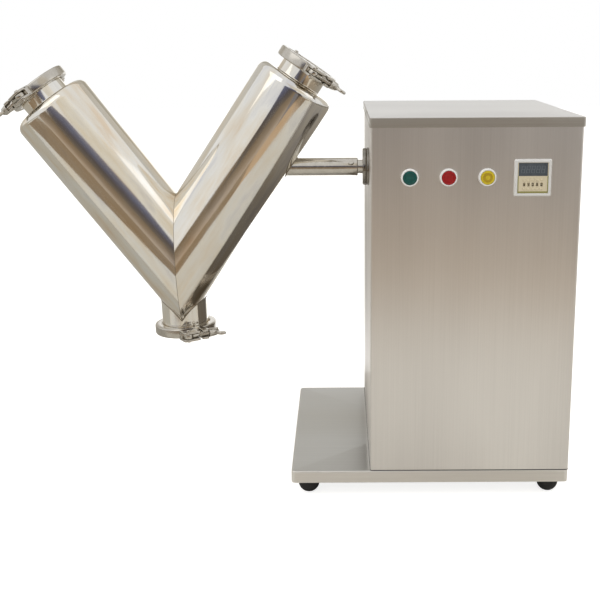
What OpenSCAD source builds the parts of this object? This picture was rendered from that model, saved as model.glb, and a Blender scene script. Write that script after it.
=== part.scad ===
// A bench V blender: a two-legged steel drum that turns on one shaft beside a drive cabinet.
// +X runs from the drum to the cabinet, -Y faces the operator and +Z is up.
// The origin is on the floor, in the middle of the object.

/* [Cabinet] */
// Width of the cabinet
cab_w = 322.5; // [290:2.5:400]
// Depth of the cabinet
cab_d = 410; // [395:5:480]
// Height of the cabinet above the base, over its lid
cab_h = 571; // [560:1:640]
// Thickness of the folded sheet
sheet_t = 1.5; // [1:0.1:2]
// Outside radius of the cabinet's folded edges
fold_r = 3; // [2.5:0.1:5]
// Width of the flanges folded in at the back and the bottom
flange_w = 16; // [14:1:22]
// Height of the lid's turned-down lip
lid_lip = 15; // [12:1:20]
// Gap between the lid's lip and the cabinet
lid_gap = 0.5; // [0.3:0.1:1]
// Distance of the cabinet's left face from the middle of the object
cab_offset = 132.5; // [110:0.5:150]
// Distance of the cabinet's front from the middle of the object
front_offset = 209; // [190:1:230]

/* [Base] */
// How far the base reaches out under the drum
base_reach = 129; // [90:1:170]
// How far the base stands out in front of the cabinet
base_lip = 1.5; // [0:0.5:6]
// Height of the base tray
base_t = 20.5; // [16:0.5:30]
// Thickness of the tray's sheet
tray_t = 2; // [1.5:0.1:3]
// Radius of the tray's corners
tray_r = 7; // [4:0.5:12]
// Thickness of the plate that closes the tray
plate_t = 3; // [2:0.5:4]
// Diameter of a foot
foot_d = 35; // [28:1:44]
// Visible height of a foot
foot_h = 25; // [20:1:34]
// Depth of the flat cut on a foot's round bottom
foot_flat = 1.2; // [0.8:0.1:2]
// Distance of a foot's middle from the base's edges
foot_inset = 28; // [25:1:40]
// Diameter of a foot's stud
stud_d = 8; // [6:1:10]

/* [Drum] */
// Outside diameter of the two legs
leg_d = 133; // [120:1:150]
// Wall of the drum
wall_t = 2; // [1.5:0.1:3]
// Angle between the two legs
v_angle = 71.5; // [66:0.5:80]
// Lean of the drum towards the operator's left
v_lean = 1.77; // [0:0.01:3]
// Length of the left leg from the crossing of the axes
left_len = 331; // [310:1:350]
// Length of the right leg from the crossing of the axes
right_len = 354.5; // [320:0.5:370]
// Radius of the rounded shoulder at a leg's end
shoulder_r = 19; // [12:1:25]
// Distance of the crossing of the axes from the cabinet's left face
drum_reach = 311.6; // [305:0.1:330]
// Drop of the crossing of the axes below the shaft
drum_drop = 156; // [140:1:170]

/* [Necks and clamps] */
// Outside diameter of the necks
neck_d = 76.1; // [70:0.1:80]
// Wall of a neck
neck_wall = 1.65; // [1.4:0.05:2]
// Length of an upper neck, from the leg's end to the joint
neck_len = 27; // [25:1:36]
// Distance of the outlet's joint from the crossing of the axes
outlet_len = 112; // [110:1:130]
// Diameter of the flanges and caps
flange_d = 91; // [88:0.5:94]
// Thickness of a flange at its rim
rim_t = 2.85; // [2:0.05:3.5]
// Slope of a flange's back
rim_slope = 20; // [15:1:25]
// Thickness of a gasket
gasket_t = 2; // [1.5:0.1:3]
// Thickness of a cap
cap_t = 6.35; // [6.3:0.05:8]
// Outside diameter of a clamp
clamp_d = 102; // [101:0.5:106]
// Thickness of a clamp along the neck
clamp_t = 16; // [15:0.5:18]
// Distance of the clamp's bolt from the neck's axis
bolt_r = 62; // [61:0.5:66]
// Diameter of the clamp's bolt
bolt_d = 8; // [6:0.5:9]
// Diameter of the clamp's pins
pin_d = 6; // [5:0.5:7]
// Turn of the clamps' bolts from the front to the side
clamp_turn = 30; // [0:1:45]
// Gap between the two halves of a clamp
split_gap = 4; // [2:0.5:6]
// Half span of a wing nut
wing_span = 19; // [15:0.5:21]

/* [Shaft and hub] */
// Height of the shaft above the base
shaft_h = 483.7; // [470:0.1:500]
// Distance of the shaft behind the cabinet's front
shaft_depth = 110; // [105:1:125]
// Diameter of the drive shaft
shaft_d = 22.5; // [18:0.5:24]
// Outside diameter of the drum's sleeve
sleeve_d = 29.2; // [29:0.1:33]
// Gap between the sleeve's end and the cabinet
sleeve_gap = 18; // [15:0.5:24]
// Length of the shaft inside the sleeve
shaft_hold = 92; // [60:1:98]
// Diameter of the hub's flange
hub_d = 62; // [56:1:70]
// Thickness of the hub's flange
hub_t = 6.8; // [5:0.1:8]
// Thickness of the hub's back plate
hub_plate_t = 3.5; // [3:0.1:5]
// Outside diameter of the hub's bearing
hub_bearing_d = 35; // [32:1:38]

/* [Gears] */
// Module of the worm and the wheel
gear_module = 2; // [1.9:0.05:2.1]
// Teeth on the wheel
wheel_teeth = 40; // [38:1:42]
// Pitch diameter of the worm
worm_d = 22; // [21:0.5:24]
// Play between the flanks
flank_play = 0.5; // [0.45:0.05:0.6]
// Width of the wheel's rim
wheel_w = 8; // [6:0.5:9]
// Distance of the wheel inside the cabinet's left face
wheel_inset = 78; // [76:1:90]

/* [Motor] */
// Diameter of the motor over its fins
motor_d = 116; // [110:1:120]
// Length of the motor's housing
motor_len = 150; // [130:1:155]
// Length of the fan's cowl
cowl_len = 44; // [38:1:50]
// Diameter of the rotor
rotor_d = 56; // [50:1:60]
// Diameter of the motor's shaft
motor_shaft_d = 14; // [12:0.5:15]

/* [Controls] */
// Drop of the controls below the top of the lid
control_drop = 91; // [80:1:110]
// Distance of the first button from the cabinet's left face
button_inset = 59.6; // [50:0.2:70]
// Distance between two buttons
button_pitch = 59.2; // [52:0.2:62]
// Diameter of a button's ring
bezel_d = 27.6; // [27:0.2:32]
// How far a ring stands out
bezel_h = 6; // [5:0.5:8]
// Diameter of a button
button_d = 21.4; // [18:0.2:22]
// Diameter of the threaded body behind a ring
barrel_d = 22; // [21.7:0.1:22.5]
// Distance of the timer's middle from the cabinet's left face
timer_inset = 247; // [235:1:265]
// How far the timer's middle is under the buttons' middles
timer_low = 1; // [0:0.5:5]
// Width and height of the timer's frame
timer_w = 57; // [56:0.5:66]
// Width and height of the timer's face
face_w = 46.5; // [46.5:0.5:50]
// Width and height of the timer's case
case_w = 44.6; // [44:0.1:45]
// Distance between two digit wheels
digit_pitch = 6.6; // [6.4:0.1:7]
// Across-corner diameter of a digit wheel
digit_d = 17; // [15:0.5:17.5]

/* [Hidden] */
$fn = 64;
eps = 0.5;                                  // overrun of every cut
reach = 900;                                // longer than the whole object
fit = 0.05;                                 // radial clearance of a running or sliding fit
loose = 0.3;                                // clearance of a free fit

x0 = cab_offset;                            // cabinet's left face
y0 = -front_offset;                         // cabinet's front
z0 = foot_h + base_t;                       // top of the base
y1 = y0 + cab_d;                            // cabinet's back
lid_z = z0 + cab_h;                         // top of the lid
lid_over = lid_gap + sheet_t;
shell_h = cab_h - sheet_t;
shaft_y = y0 + shaft_depth;
shaft_z = z0 + shaft_h;
vx = x0 - drum_reach;                       // crossing of the legs' axes
vz = shaft_z - drum_drop;
leg_r = leg_d / 2;
neck_r = neck_d / 2;
neck_bore = neck_r - neck_wall;
half_angle = v_angle / 2;

// Ports of the drum: tilt from the bisector, distance of the joint, and whether the clamp is turned over
LEFT = [-half_angle, left_len + neck_len, 180];
RIGHT = [half_angle, right_len + neck_len, 0];
OUTLET = [180, outlet_len, 180];
PORTS = [LEFT, RIGHT, OUTLET];

// Screws of the sheet metal
screw_r = 1.9;
screw_head_r = 4;
screw_head_h = 2.6;
screw_len = 9;
panel_screw_rows_shares = [0.06, 0.5, 0.94];

// Shapes that repeat

// A box with its four upright edges rounded, from the corner at the origin
module slab(w, d, h, r) {
    translate([r, 0, 0]) cube([w - 2 * r, d, h]);
    translate([0, r, 0]) cube([w, d - 2 * r, h]);
    for (x = [r, w - r], y = [r, d - r]) translate([x, y, 0]) cylinder(r = r, h = h);
}

// Turns a shape that stands on the XY plane so that it points along +X, +Y or -Y
module along_x() { rotate([0, 90, 0]) children(); }
module along_y() { rotate([-90, 0, 0]) children(); }

module ring(outer, inner, h) {
    difference() {
        cylinder(r = outer, h = h);
        translate([0, 0, -eps]) cylinder(r = inner, h = h + 2 * eps);
    }
}

module hex(across, h) { cylinder(d = across / cos(30), h = h, $fn = 6); }

// Base

base_w = cab_w + base_reach;
base_x = x0 - base_reach;
base_y = y0 - base_lip;
base_d = cab_d + base_lip;
foot_x = [base_x + foot_inset, base_x + base_w - foot_inset];
foot_y = [base_y + foot_inset, y1 - foot_inset];
stud_r = stud_d / 2;
nut_h = 6.5;                                // foot stud's nut
nut_w = 13;
stud_sink = 12;                             // stud inside the rubber

module at_feet() { for (x = foot_x, y = foot_y) translate([x, y, 0]) children(); }

module base_tray() {
    color("silver")
    difference() {
        translate([base_x, base_y, foot_h]) slab(base_w, base_d, base_t, tray_r);
        translate([base_x + tray_t, base_y + tray_t, foot_h - eps])
            slab(base_w - 2 * tray_t, base_d - 2 * tray_t, base_t - tray_t + eps, tray_r - tray_t);
        at_frame_bolts() translate([0, 0, z0 - tray_t - eps]) cylinder(r = frame_bolt_r + fit, h = tray_t + 2 * eps);
    }
}

module base_plate() {
    color("gray")
    difference() {
        translate([base_x + tray_t + fit, base_y + tray_t + fit, foot_h])
            slab(base_w - 2 * (tray_t + fit), base_d - 2 * (tray_t + fit), plate_t, tray_r - tray_t);
        at_feet() translate([0, 0, foot_h - eps]) cylinder(r = stud_r + fit, h = plate_t + 2 * eps);
    }
}

module feet() {
    ball = foot_d / 2;
    color("#202020")
    at_feet() difference() {
        union() {
            translate([0, 0, ball - foot_flat]) cylinder(r = ball, h = foot_h - ball + foot_flat);
            intersection() {
                translate([0, 0, ball - foot_flat]) sphere(r = ball);
                translate([-ball, -ball, 0]) cube([foot_d, foot_d, ball]);
            }
        }
        translate([0, 0, foot_h - stud_sink]) cylinder(r = stud_r + fit, h = stud_sink + eps);
    }
}

module foot_studs() {
    color("silver")
    at_feet() {
        translate([0, 0, foot_h - stud_sink]) cylinder(r = stud_r, h = stud_sink + plate_t + nut_h);
        translate([0, 0, foot_h + plate_t]) hex(nut_w, nut_h);
    }
}

// Cabinet

back_y = y1 - sheet_t;                      // outer face of the cabinet's back flanges
vent_w = 70;
vent_h = 4;
vent_pitch = 12;
vent_rows = 8;
vent_z = 300;
vent_share = 0.28;                          // place of a vent's middle across the panel
gland_inset = 250;                          // gland from the cabinet's left side
gland_up = 60;                              // gland above the tray
gland_x = x0 + gland_inset;
gland_z = z0 + gland_up;
gland_r = 8;                                // radius of the gland's thread
panel_gap = 1;                              // gap around the back panel
panel_x = x0 + fold_r;
panel_w = cab_w - 2 * fold_r;
panel_z = z0 + panel_gap;
panel_h = cab_h - lid_lip - 2 * panel_gap;
control_z = lid_z - control_drop;
button_x = [for (i = [0:2]) x0 + button_inset + i * button_pitch];
timer_x = x0 + timer_inset;
timer_z = control_z - timer_low;

module at_panel_screws() {
    for (x = [panel_x + flange_w / 2, panel_x + panel_w - flange_w / 2], s = panel_screw_rows_shares)
        translate([x, back_y, panel_z + panel_h * s]) along_y() children();
}

module at_lid_screws() {
    for (x = [x0 + cab_w / 4, x0 + cab_w * 3 / 4])
        translate([x, y1 + lid_gap, lid_z - lid_lip / 2]) along_y() children();
}

module cabinet_shell() {
    color("#b8b4ae")
    difference() {
        translate([x0, y0, z0]) slab(cab_w, cab_d - sheet_t, shell_h, fold_r);
        translate([x0 + sheet_t, y0 + sheet_t, z0 + sheet_t])
            slab(cab_w - 2 * sheet_t, cab_d - 3 * sheet_t, cab_h, fold_r - sheet_t);
        translate([x0 + flange_w, y0 + flange_w, z0 - eps])
            cube([cab_w - 2 * flange_w, cab_d - 2 * flange_w, sheet_t + 2 * eps]);
        translate([x0 + flange_w, back_y - sheet_t - eps, z0 + flange_w])
            cube([cab_w - 2 * flange_w, sheet_t + 2 * eps, cab_h - 2 * flange_w]);
        for (x = button_x) translate([x, y0 - eps, control_z]) along_y()
            cylinder(d = barrel_d + loose, h = sheet_t + 2 * eps);
        translate([timer_x - case_w / 2 - loose, y0 - eps, timer_z - case_w / 2 - loose])
            cube([case_w + 2 * loose, sheet_t + 2 * eps, case_w + 2 * loose]);
        translate([x0 - eps, shaft_y, shaft_z]) along_x() cylinder(d = hub_bearing_d, h = sheet_t + 2 * eps);
        at_hub_screws() translate([0, 0, -eps]) cylinder(r = hub_screw_r + fit, h = sheet_t + 2 * eps);
        at_panel_screws() translate([0, 0, -sheet_t - eps]) cylinder(r = screw_r + fit, h = sheet_t + 2 * eps);
        at_lid_screws() translate([0, 0, -screw_len]) cylinder(r = screw_r + fit, h = screw_len);
    }
}

module back_panel() {
    color("#b8b4ae")
    difference() {
        translate([panel_x, back_y, panel_z]) cube([panel_w, sheet_t, panel_h]);
        for (s = [vent_share, 1 - vent_share], i = [0:vent_rows - 1])
            translate([panel_x + panel_w * s - vent_w / 2, back_y - eps, z0 + vent_z + i * vent_pitch])
                cube([vent_w, sheet_t + 2 * eps, vent_h]);
        translate([gland_x, back_y - eps, gland_z]) along_y() cylinder(r = gland_r + fit, h = sheet_t + 2 * eps);
        at_panel_screws() translate([0, 0, -eps]) cylinder(r = screw_r + loose, h = sheet_t + 2 * eps);
    }
}

module panel_screws() {
    color("silver") {
        at_panel_screws() {
            translate([0, 0, sheet_t]) cylinder(r = screw_head_r, h = screw_head_h);
            translate([0, 0, sheet_t - screw_len]) cylinder(r = screw_r, h = screw_len);
        }
        at_lid_screws() {
            translate([0, 0, sheet_t]) cylinder(r = screw_head_r, h = screw_head_h);
            translate([0, 0, sheet_t - screw_len]) cylinder(r = screw_r, h = screw_len);
        }
    }
}

module lid() {
    color("#d8d6d2")
    difference() {
        translate([x0 - lid_over, y0 - lid_over, lid_z - lid_lip])
            slab(cab_w + 2 * lid_over, cab_d + 2 * lid_over, lid_lip, fold_r + lid_gap);
        translate([x0 - lid_gap, y0 - lid_gap, lid_z - lid_lip - eps])
            slab(cab_w + 2 * lid_gap, cab_d + 2 * lid_gap, lid_lip - sheet_t + eps, fold_r + lid_gap);
        at_lid_screws() translate([0, 0, -eps]) cylinder(r = screw_r + loose, h = sheet_t + 2 * eps);
    }
}

// Drive: the wheel turns with the drum's shaft and the worm runs below it, towards the back

pitch_r = gear_module * wheel_teeth / 2;
worm_pitch_r = worm_d / 2;
gear_dist = pitch_r + worm_pitch_r;
tooth_add = gear_module;                    // height of a tooth above the pitch line
tooth_ded = gear_module * 1.2;              // depth of a tooth below the pitch line
tooth_pitch = PI * gear_module;
wheel_x = x0 + wheel_inset;
worm_z = shaft_z - gear_dist;
shaft_r = shaft_d / 2;

box_w = 60;                                 // gearbox across the wheel
box_d = 104;                                // gearbox along the worm
box_top = 50;                               // gearbox above the shaft
box_low = 30;                               // gearbox below the worm
wheel_room = 2;                             // gap around the wheel and the worm
cavity_w = 26;                              // room across the wheel
foot_w = 86;                                // gearbox foot
foot_t = 10;
cover_t = 6;
cover_lap = 3;                              // cover's spigot inside the housing
bearing_r = 21;                             // bearings of the drive shaft
bearing_w = 10;
worm_bearing_r = 16;                        // bearings of the worm
worm_bearing_w = 9;
worm_shaft_r = 10;
worm_turns = 6;
ring_steps = 24;                            // points in one turn of the thread
thread_root_sink = 0.3;
box_y = shaft_y - box_d / 2;
box_back = shaft_y + box_d / 2;
shelf_z = worm_z - box_low;
cover_x = wheel_x + box_w / 2;

gear_bolt_r = 3;
gear_head_r = 5;
gear_head_h = 6;
gear_bolt_len = 16;
cover_bolt_r = 55;                          // bolt circle of the cover

// One tooth of the wheel about the angle a, as four points from root to tip and back
function tooth(a) = [
    for (p = [[-1, -tooth_ded], [-1, tooth_add], [1, tooth_add], [1, -tooth_ded]])
        let (w = (tooth_pitch / 4 - p[1] * tan(20)) * p[0] / pitch_r * 180 / PI)
        [(pitch_r + p[1]) * cos(a + w), (pitch_r + p[1]) * sin(a + w)]
];

module worm_wheel() {
    hub_r = bearing_r - wheel_room;
    color("#b08d57")
    translate([wheel_x, shaft_y, shaft_z]) rotate([90, 0, 90])
        difference() {
            union() {
                translate([0, 0, -wheel_w / 2]) linear_extrude(wheel_w)
                    polygon([for (i = [0:wheel_teeth - 1]) each tooth(-90 + (i + 0.5) * 360 / wheel_teeth)]);
                translate([0, 0, -cavity_w / 2]) cylinder(r = hub_r, h = cavity_w);
            }
            translate([0, 0, -cavity_w / 2 - eps]) cylinder(r = shaft_r + fit, h = cavity_w + 2 * eps);
            translate([-key_w / 2 - fit, 0, -cavity_w / 2 - eps])
                cube([key_w + 2 * fit, shaft_r + key_w / 2 + fit, cavity_w + 2 * eps]);
        }
}

key_w = 6;
key_len = 22;
key_sink = 3.5;                             // depth of the keyway in the shaft

module wheel_key() {
    color("silver")
    translate([wheel_x - key_len / 2, shaft_y - key_w / 2, shaft_z + shaft_r - key_sink + fit])
        cube([key_len, key_w, key_sink + key_w / 2 - fit]);
}

shaft_in = sleeve_gap + shaft_hold;         // shaft's end from the cabinet's left face
shaft_end = cover_x + cover_t - fit;

module drive_shaft() {
    color("#a8a8a8")
    difference() {
        translate([x0 - shaft_in, shaft_y, shaft_z]) along_x() cylinder(r = shaft_r, h = shaft_in + shaft_end - x0);
        translate([wheel_x - key_len / 2 - fit, shaft_y - key_w / 2 - fit, shaft_z + shaft_r - key_sink])
            cube([key_len + 2 * fit, key_w + 2 * fit, key_sink + eps]);
        at_sleeve_screw() translate([0, 0, shaft_r - dimple]) cylinder(r = sleeve_bolt_r + fit, h = dimple + eps);
    }
}

module gearbox_housing() {
    color("#8f9497")
    difference() {
        union() {
            translate([wheel_x - box_w / 2, box_y, shelf_z]) cube([box_w, box_d, box_low + gear_dist + box_top]);
            translate([wheel_x - foot_w / 2, box_y, shelf_z]) cube([foot_w, box_d, foot_t]);
        }
        // Room for the wheel, open on the cover's side
        translate([wheel_x - cavity_w / 2, shaft_y, shaft_z]) along_x()
            cylinder(r = pitch_r + tooth_add + wheel_room, h = cavity_w / 2 + box_w / 2 + eps);
        translate([wheel_x, box_y - eps, worm_z]) along_y()
            cylinder(r = worm_pitch_r + tooth_add + wheel_room, h = box_d + 2 * eps);
        for (y = [box_y - eps, box_back - worm_bearing_w])
            translate([wheel_x, y, worm_z]) along_y() cylinder(r = worm_bearing_r, h = worm_bearing_w + eps);
        translate([wheel_x - box_w / 2 - eps, shaft_y, shaft_z]) along_x()
            cylinder(r = shaft_r + loose, h = box_w / 2 + eps);
        translate([wheel_x - cavity_w / 2 - bearing_w, shaft_y, shaft_z]) along_x()
            cylinder(r = bearing_r, h = bearing_w + eps);
        at_cover_screws() translate([0, 0, -gear_bolt_len + cover_t - eps])
            cylinder(r = gear_bolt_r + fit, h = gear_bolt_len);
        at_shelf_bolts() translate([0, 0, -eps]) cylinder(r = frame_bolt_r + fit, h = foot_t + 2 * eps);
        at_motor_bolts() translate([0, 0, -gear_bolt_len + flange_t - eps])
            cylinder(r = gear_bolt_r + fit, h = gear_bolt_len);
    }
}

module at_cover_screws() {
    for (a = [45:90:315])
        translate([cover_x, shaft_y, shaft_z]) rotate([a, 0, 0])
            translate([0, 0, cover_bolt_r]) along_x() children();
}

module gearbox_cover() {
    spigot_r = pitch_r + tooth_add + wheel_room - fit;
    plate_r = cover_bolt_r + 2 * gear_bolt_r;
    color("#8f9497")
    difference() {
        union() {
            intersection() {
                translate([cover_x, shaft_y, shaft_z]) along_x() cylinder(r = plate_r, h = cover_t);
                translate([cover_x - eps, box_y, shaft_z - box_top])
                    cube([cover_t + 2 * eps, box_d, 2 * box_top]);
            }
            translate([wheel_x + cavity_w / 2 + bearing_w - cover_lap, shaft_y, shaft_z]) along_x()
                cylinder(r = spigot_r, h = cover_x - wheel_x - cavity_w / 2 - bearing_w + cover_lap);
        }
        translate([wheel_x + cavity_w / 2, shaft_y, shaft_z]) along_x() cylinder(r = bearing_r, h = bearing_w);
        translate([wheel_x, shaft_y, shaft_z]) along_x() cylinder(r = shaft_r + loose, h = box_w);
        at_cover_screws() translate([0, 0, -eps]) cylinder(r = gear_bolt_r + fit, h = cover_t + 2 * eps);
    }
}

module bearings() {
    color("#c9c9c9") {
        for (x = [wheel_x - cavity_w / 2 - bearing_w, wheel_x + cavity_w / 2])
            translate([x, shaft_y, shaft_z]) along_x() ring(bearing_r - fit, shaft_r + fit, bearing_w);
        for (y = [box_y, box_back - worm_bearing_w])
            translate([wheel_x, y, worm_z]) along_y() ring(worm_bearing_r - fit, worm_shaft_r + fit, worm_bearing_w);
        translate([wheel_x, motor_y + motor_len - bell_t, worm_z]) along_y()
            ring(motor_bearing_r - fit, motor_shaft_r + fit, bell_t);
        translate([x0 - hub_plate_t - hub_t + hub_lip, shaft_y, shaft_z]) along_x()
            ring(hub_bearing_d / 2 - fit, shaft_r + fit, hub_plate_t + hub_t - hub_lip + sheet_t);
    }
}

// A trapezium of the worm's thread at each step, carried along the helix and closed at both ends
thread_points = [
    for (i = [-worm_turns * ring_steps / 2:worm_turns * ring_steps / 2])
        let (a = i * 360 / ring_steps)
        for (p = [[-1, -tooth_ded - thread_root_sink], [-1, tooth_add], [1, tooth_add],
                [1, -tooth_ded - thread_root_sink]])
            let (r = worm_pitch_r + p[1])
            let (w = (tooth_pitch / 4 - p[1] * tan(20) - flank_play) * p[0])
            [r * sin(a), w + i * tooth_pitch / ring_steps, r * cos(a)]
];
thread_rings = worm_turns * ring_steps;
thread_faces = concat(
    [[0, 2, 1], [0, 3, 2]],
    [for (i = [0:thread_rings - 1], j = [0:3])
        for (f = [[4 * i + j, 4 * i + (j + 1) % 4, 4 * i + 4 + j],
                [4 * i + (j + 1) % 4, 4 * i + 4 + (j + 1) % 4, 4 * i + 4 + j]]) f],
    [[4 * thread_rings, 4 * thread_rings + 1, 4 * thread_rings + 2],
        [4 * thread_rings, 4 * thread_rings + 2, 4 * thread_rings + 3]]);

motor_shaft_r = motor_shaft_d / 2;
motor_r = motor_d / 2;
flange_t = 10;
motor_y = box_back + flange_t;              // front of the motor's housing
motor_bore = 42;                            // inside of the motor's housing
motor_root = 50;                            // housing between its fins
fin_count = 24;
fin_t = 2.6;
bell_t = 9;
motor_bearing_r = 16;
socket_len = 32;                            // motor shaft's end inside the worm
core_len = 80;
core_gap = 0.5;                             // air gap between rotor and stator
winding = 12;
fan_r = 44;
fan_w = 18;
fan_hub_r = 13;
fan_blades = 8;
blade_t = 2;
cowl_t = 1.2;
cowl_slot_w = 4;

module worm_shaft() {
    tail = motor_y - flange_t - box_y;
    thread_half = worm_turns * tooth_pitch / 2;
    color("#a8a8a8")
    translate([wheel_x, 0, worm_z])
        difference() {
            union() {
                translate([0, box_y, 0]) along_y() cylinder(r = worm_pitch_r - tooth_ded, h = tail);
                translate([0, box_y, 0]) along_y() cylinder(r = worm_shaft_r, h = box_d / 2 - thread_half);
                translate([0, shaft_y + thread_half, 0]) along_y()
                    cylinder(r = worm_shaft_r, h = tail - box_d / 2 - thread_half);
                translate([0, shaft_y, 0]) polyhedron(thread_points, thread_faces, convexity = 10);
            }
            translate([0, box_y + tail - socket_len, 0]) along_y() cylinder(r = motor_shaft_r + fit, h = socket_len + eps);
        }
}

module at_motor_bolts() {
    for (a = [45:90:315])
        translate([wheel_x, box_back, worm_z]) rotate([0, a, 0])
            translate([worm_bearing_r + 2 * gear_bolt_r, 0, 0]) along_y() children();
}

module motor_flange() {
    color("#5d6a70")
    difference() {
        translate([wheel_x, box_back, worm_z]) along_y() cylinder(r = motor_r, h = flange_t);
        translate([wheel_x, box_back - eps, worm_z]) along_y()
            cylinder(r = motor_shaft_r + loose, h = flange_t + 2 * eps);
        at_motor_bolts() translate([0, 0, -eps]) cylinder(r = gear_bolt_r + fit, h = flange_t + 2 * eps);
    }
}

module motor_housing() {
    color("#5d6a70")
    translate([wheel_x, motor_y, worm_z]) along_y()
        difference() {
            union() {
                cylinder(r = motor_root, h = motor_len);
                for (i = [0:fin_count - 1]) rotate(i * 360 / fin_count)
                    translate([motor_bore, -fin_t / 2, 0]) cube([motor_r - motor_bore, fin_t, motor_len - bell_t]);
            }
            translate([0, 0, -eps]) cylinder(r = motor_bore, h = motor_len - bell_t + eps);
            cylinder(r = motor_bearing_r, h = motor_len + eps);
        }
}

module motor_stator() {
    core_y = (motor_len - bell_t - core_len) / 2;
    color("#b87333")
    translate([wheel_x, motor_y + core_y, worm_z]) along_y() {
        ring(motor_bore - fit, rotor_d / 2 + core_gap, core_len);
        for (z = [-winding, core_len]) translate([0, 0, z]) ring(motor_bore - loose - fit, rotor_d / 2 + winding / 4, winding);
    }
}

module motor_rotor() {
    core_y = (motor_len - bell_t - core_len) / 2;
    color("#9a9a9a")
    translate([wheel_x, motor_y, worm_z]) along_y() {
        translate([0, 0, -flange_t - socket_len + loose])
            cylinder(r = motor_shaft_r, h = flange_t + socket_len + motor_len + fan_w);
        translate([0, 0, core_y]) cylinder(d = rotor_d, h = core_len);
    }
}

module cooling_fan() {
    fan_y = motor_y + motor_len + wheel_room;
    color("#3a3a3a")
    translate([wheel_x, fan_y, worm_z]) along_y()
        difference() {
            union() {
                cylinder(r = fan_hub_r, h = fan_w);
                cylinder(r = fan_r, h = blade_t);
                for (i = [0:fan_blades - 1]) rotate(i * 360 / fan_blades)
                    translate([fan_hub_r - blade_t, -blade_t / 2, blade_t / 2])
                        cube([fan_r - fan_hub_r, blade_t, fan_w - blade_t]);
            }
            translate([0, 0, -eps]) cylinder(r = motor_shaft_r + fit, h = fan_w + 2 * eps);
        }
}

module fan_cowl() {
    cowl_y = motor_y + motor_len - bell_t;
    color("#4a5257")
    translate([wheel_x, cowl_y, worm_z]) along_y()
        difference() {
            cylinder(r = motor_root + cowl_t, h = cowl_len);
            translate([0, 0, -eps]) cylinder(r = motor_root + fit, h = cowl_len - cowl_t + eps);
            for (i = [-3:3])
                translate([-cowl_half_slot(i), i * cowl_slot_w * 3 - cowl_slot_w / 2, cowl_len - cowl_t - eps])
                    cube([2 * cowl_half_slot(i), cowl_slot_w, cowl_t + 2 * eps]);
        }
}

function cowl_half_slot(i) = sqrt(pow(fan_r, 2) - pow(i * cowl_slot_w * 3, 2)) * 0.9;

term_w = 62;
term_d = 58;
term_h = 30;
term_wall = 2;

module terminal_box() {
    color("#5d6a70")
    difference() {
        translate([wheel_x - term_w / 2, motor_y + core_len / 2, worm_z + motor_root - term_wall])
            cube([term_w, term_d, term_h]);
        translate([wheel_x - term_w / 2 + term_wall, motor_y + core_len / 2 + term_wall, worm_z + motor_root + term_wall])
            cube([term_w - 2 * term_wall, term_d - 2 * term_wall, term_h - 3 * term_wall]);
        translate([wheel_x, motor_y, worm_z]) along_y() cylinder(r = motor_r + loose, h = motor_len);
    }
}

// Frame under the gearbox

frame_w = 96;
frame_back = 4;                             // frame's end short of the gearbox's back
frame_tube = 25;
frame_wall = 2;
shelf_t = 6;
pad_t = 4;
shelf_bolt_share = 0.36;
frame_bolt_r = 4;
frame_head_r = 6.5;
frame_head_h = 5.5;
frame_bolt_len = 18;
frame_x = wheel_x - frame_w / 2;
frame_y = box_y - loose;
frame_len = box_d - frame_back;

module at_frame_corners() {
    for (x = [frame_x, frame_x + frame_w - frame_tube], y = [frame_y, frame_y + frame_len - frame_tube])
        translate([x, y, 0]) children();
}

pad_reach = 16;                             // pad beside each leg, for its bolt

module at_frame_bolts() {
    for (y = [frame_y + frame_tube / 2, frame_y + frame_len - frame_tube / 2]) {
        translate([frame_x - pad_reach / 2, y, 0]) children();
        translate([frame_x + frame_w + pad_reach / 2, y, 0]) children();
    }
}

module at_shelf_bolts() {
    for (x = [wheel_x - foot_w / 2 + frame_bolt_r * 1.5, wheel_x + foot_w / 2 - frame_bolt_r * 1.5],
            y = [box_y + box_d * shelf_bolt_share, box_back - box_d * shelf_bolt_share])
        translate([x, y, shelf_z]) children();
}

module drive_frame() {
    leg_h = shelf_z - shelf_t - z0;
    color("#4c5560")
    difference() {
        union() {
            translate([frame_x, frame_y, shelf_z - shelf_t]) cube([frame_w, frame_len, shelf_t]);
            at_frame_corners() translate([0, 0, z0]) difference() {
                cube([frame_tube, frame_tube, leg_h]);
                translate([frame_wall, frame_wall, pad_t])
                    cube([frame_tube - 2 * frame_wall, frame_tube - 2 * frame_wall, leg_h - 2 * pad_t]);
            }
            for (y = [frame_y, frame_y + frame_len - frame_tube])
                translate([frame_x - pad_reach, y, z0 + sheet_t]) cube([frame_w + 2 * pad_reach, frame_tube, pad_t]);
        }
        at_shelf_bolts() translate([0, 0, -shelf_t - eps]) cylinder(r = frame_bolt_r + fit, h = shelf_t + 2 * eps);
        at_frame_bolts() translate([0, 0, z0 - eps]) cylinder(r = frame_bolt_r + fit, h = sheet_t + pad_t + 2 * eps);
    }
}

hub_screw_r = 2.5;
hub_screw_len = 9;
hub_screw_head = 4.5;
hub_screw_head_h = 3;
hub_lip = 2;                                // flange in front of the bearing
hub_circle_share = 0.8;

module at_hub_screws() {
    for (a = [45:90:315])
        translate([x0, shaft_y, shaft_z]) rotate([a, 0, 0])
            translate([0, 0, hub_d / 2 * hub_circle_share]) along_x() children();
}

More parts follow.
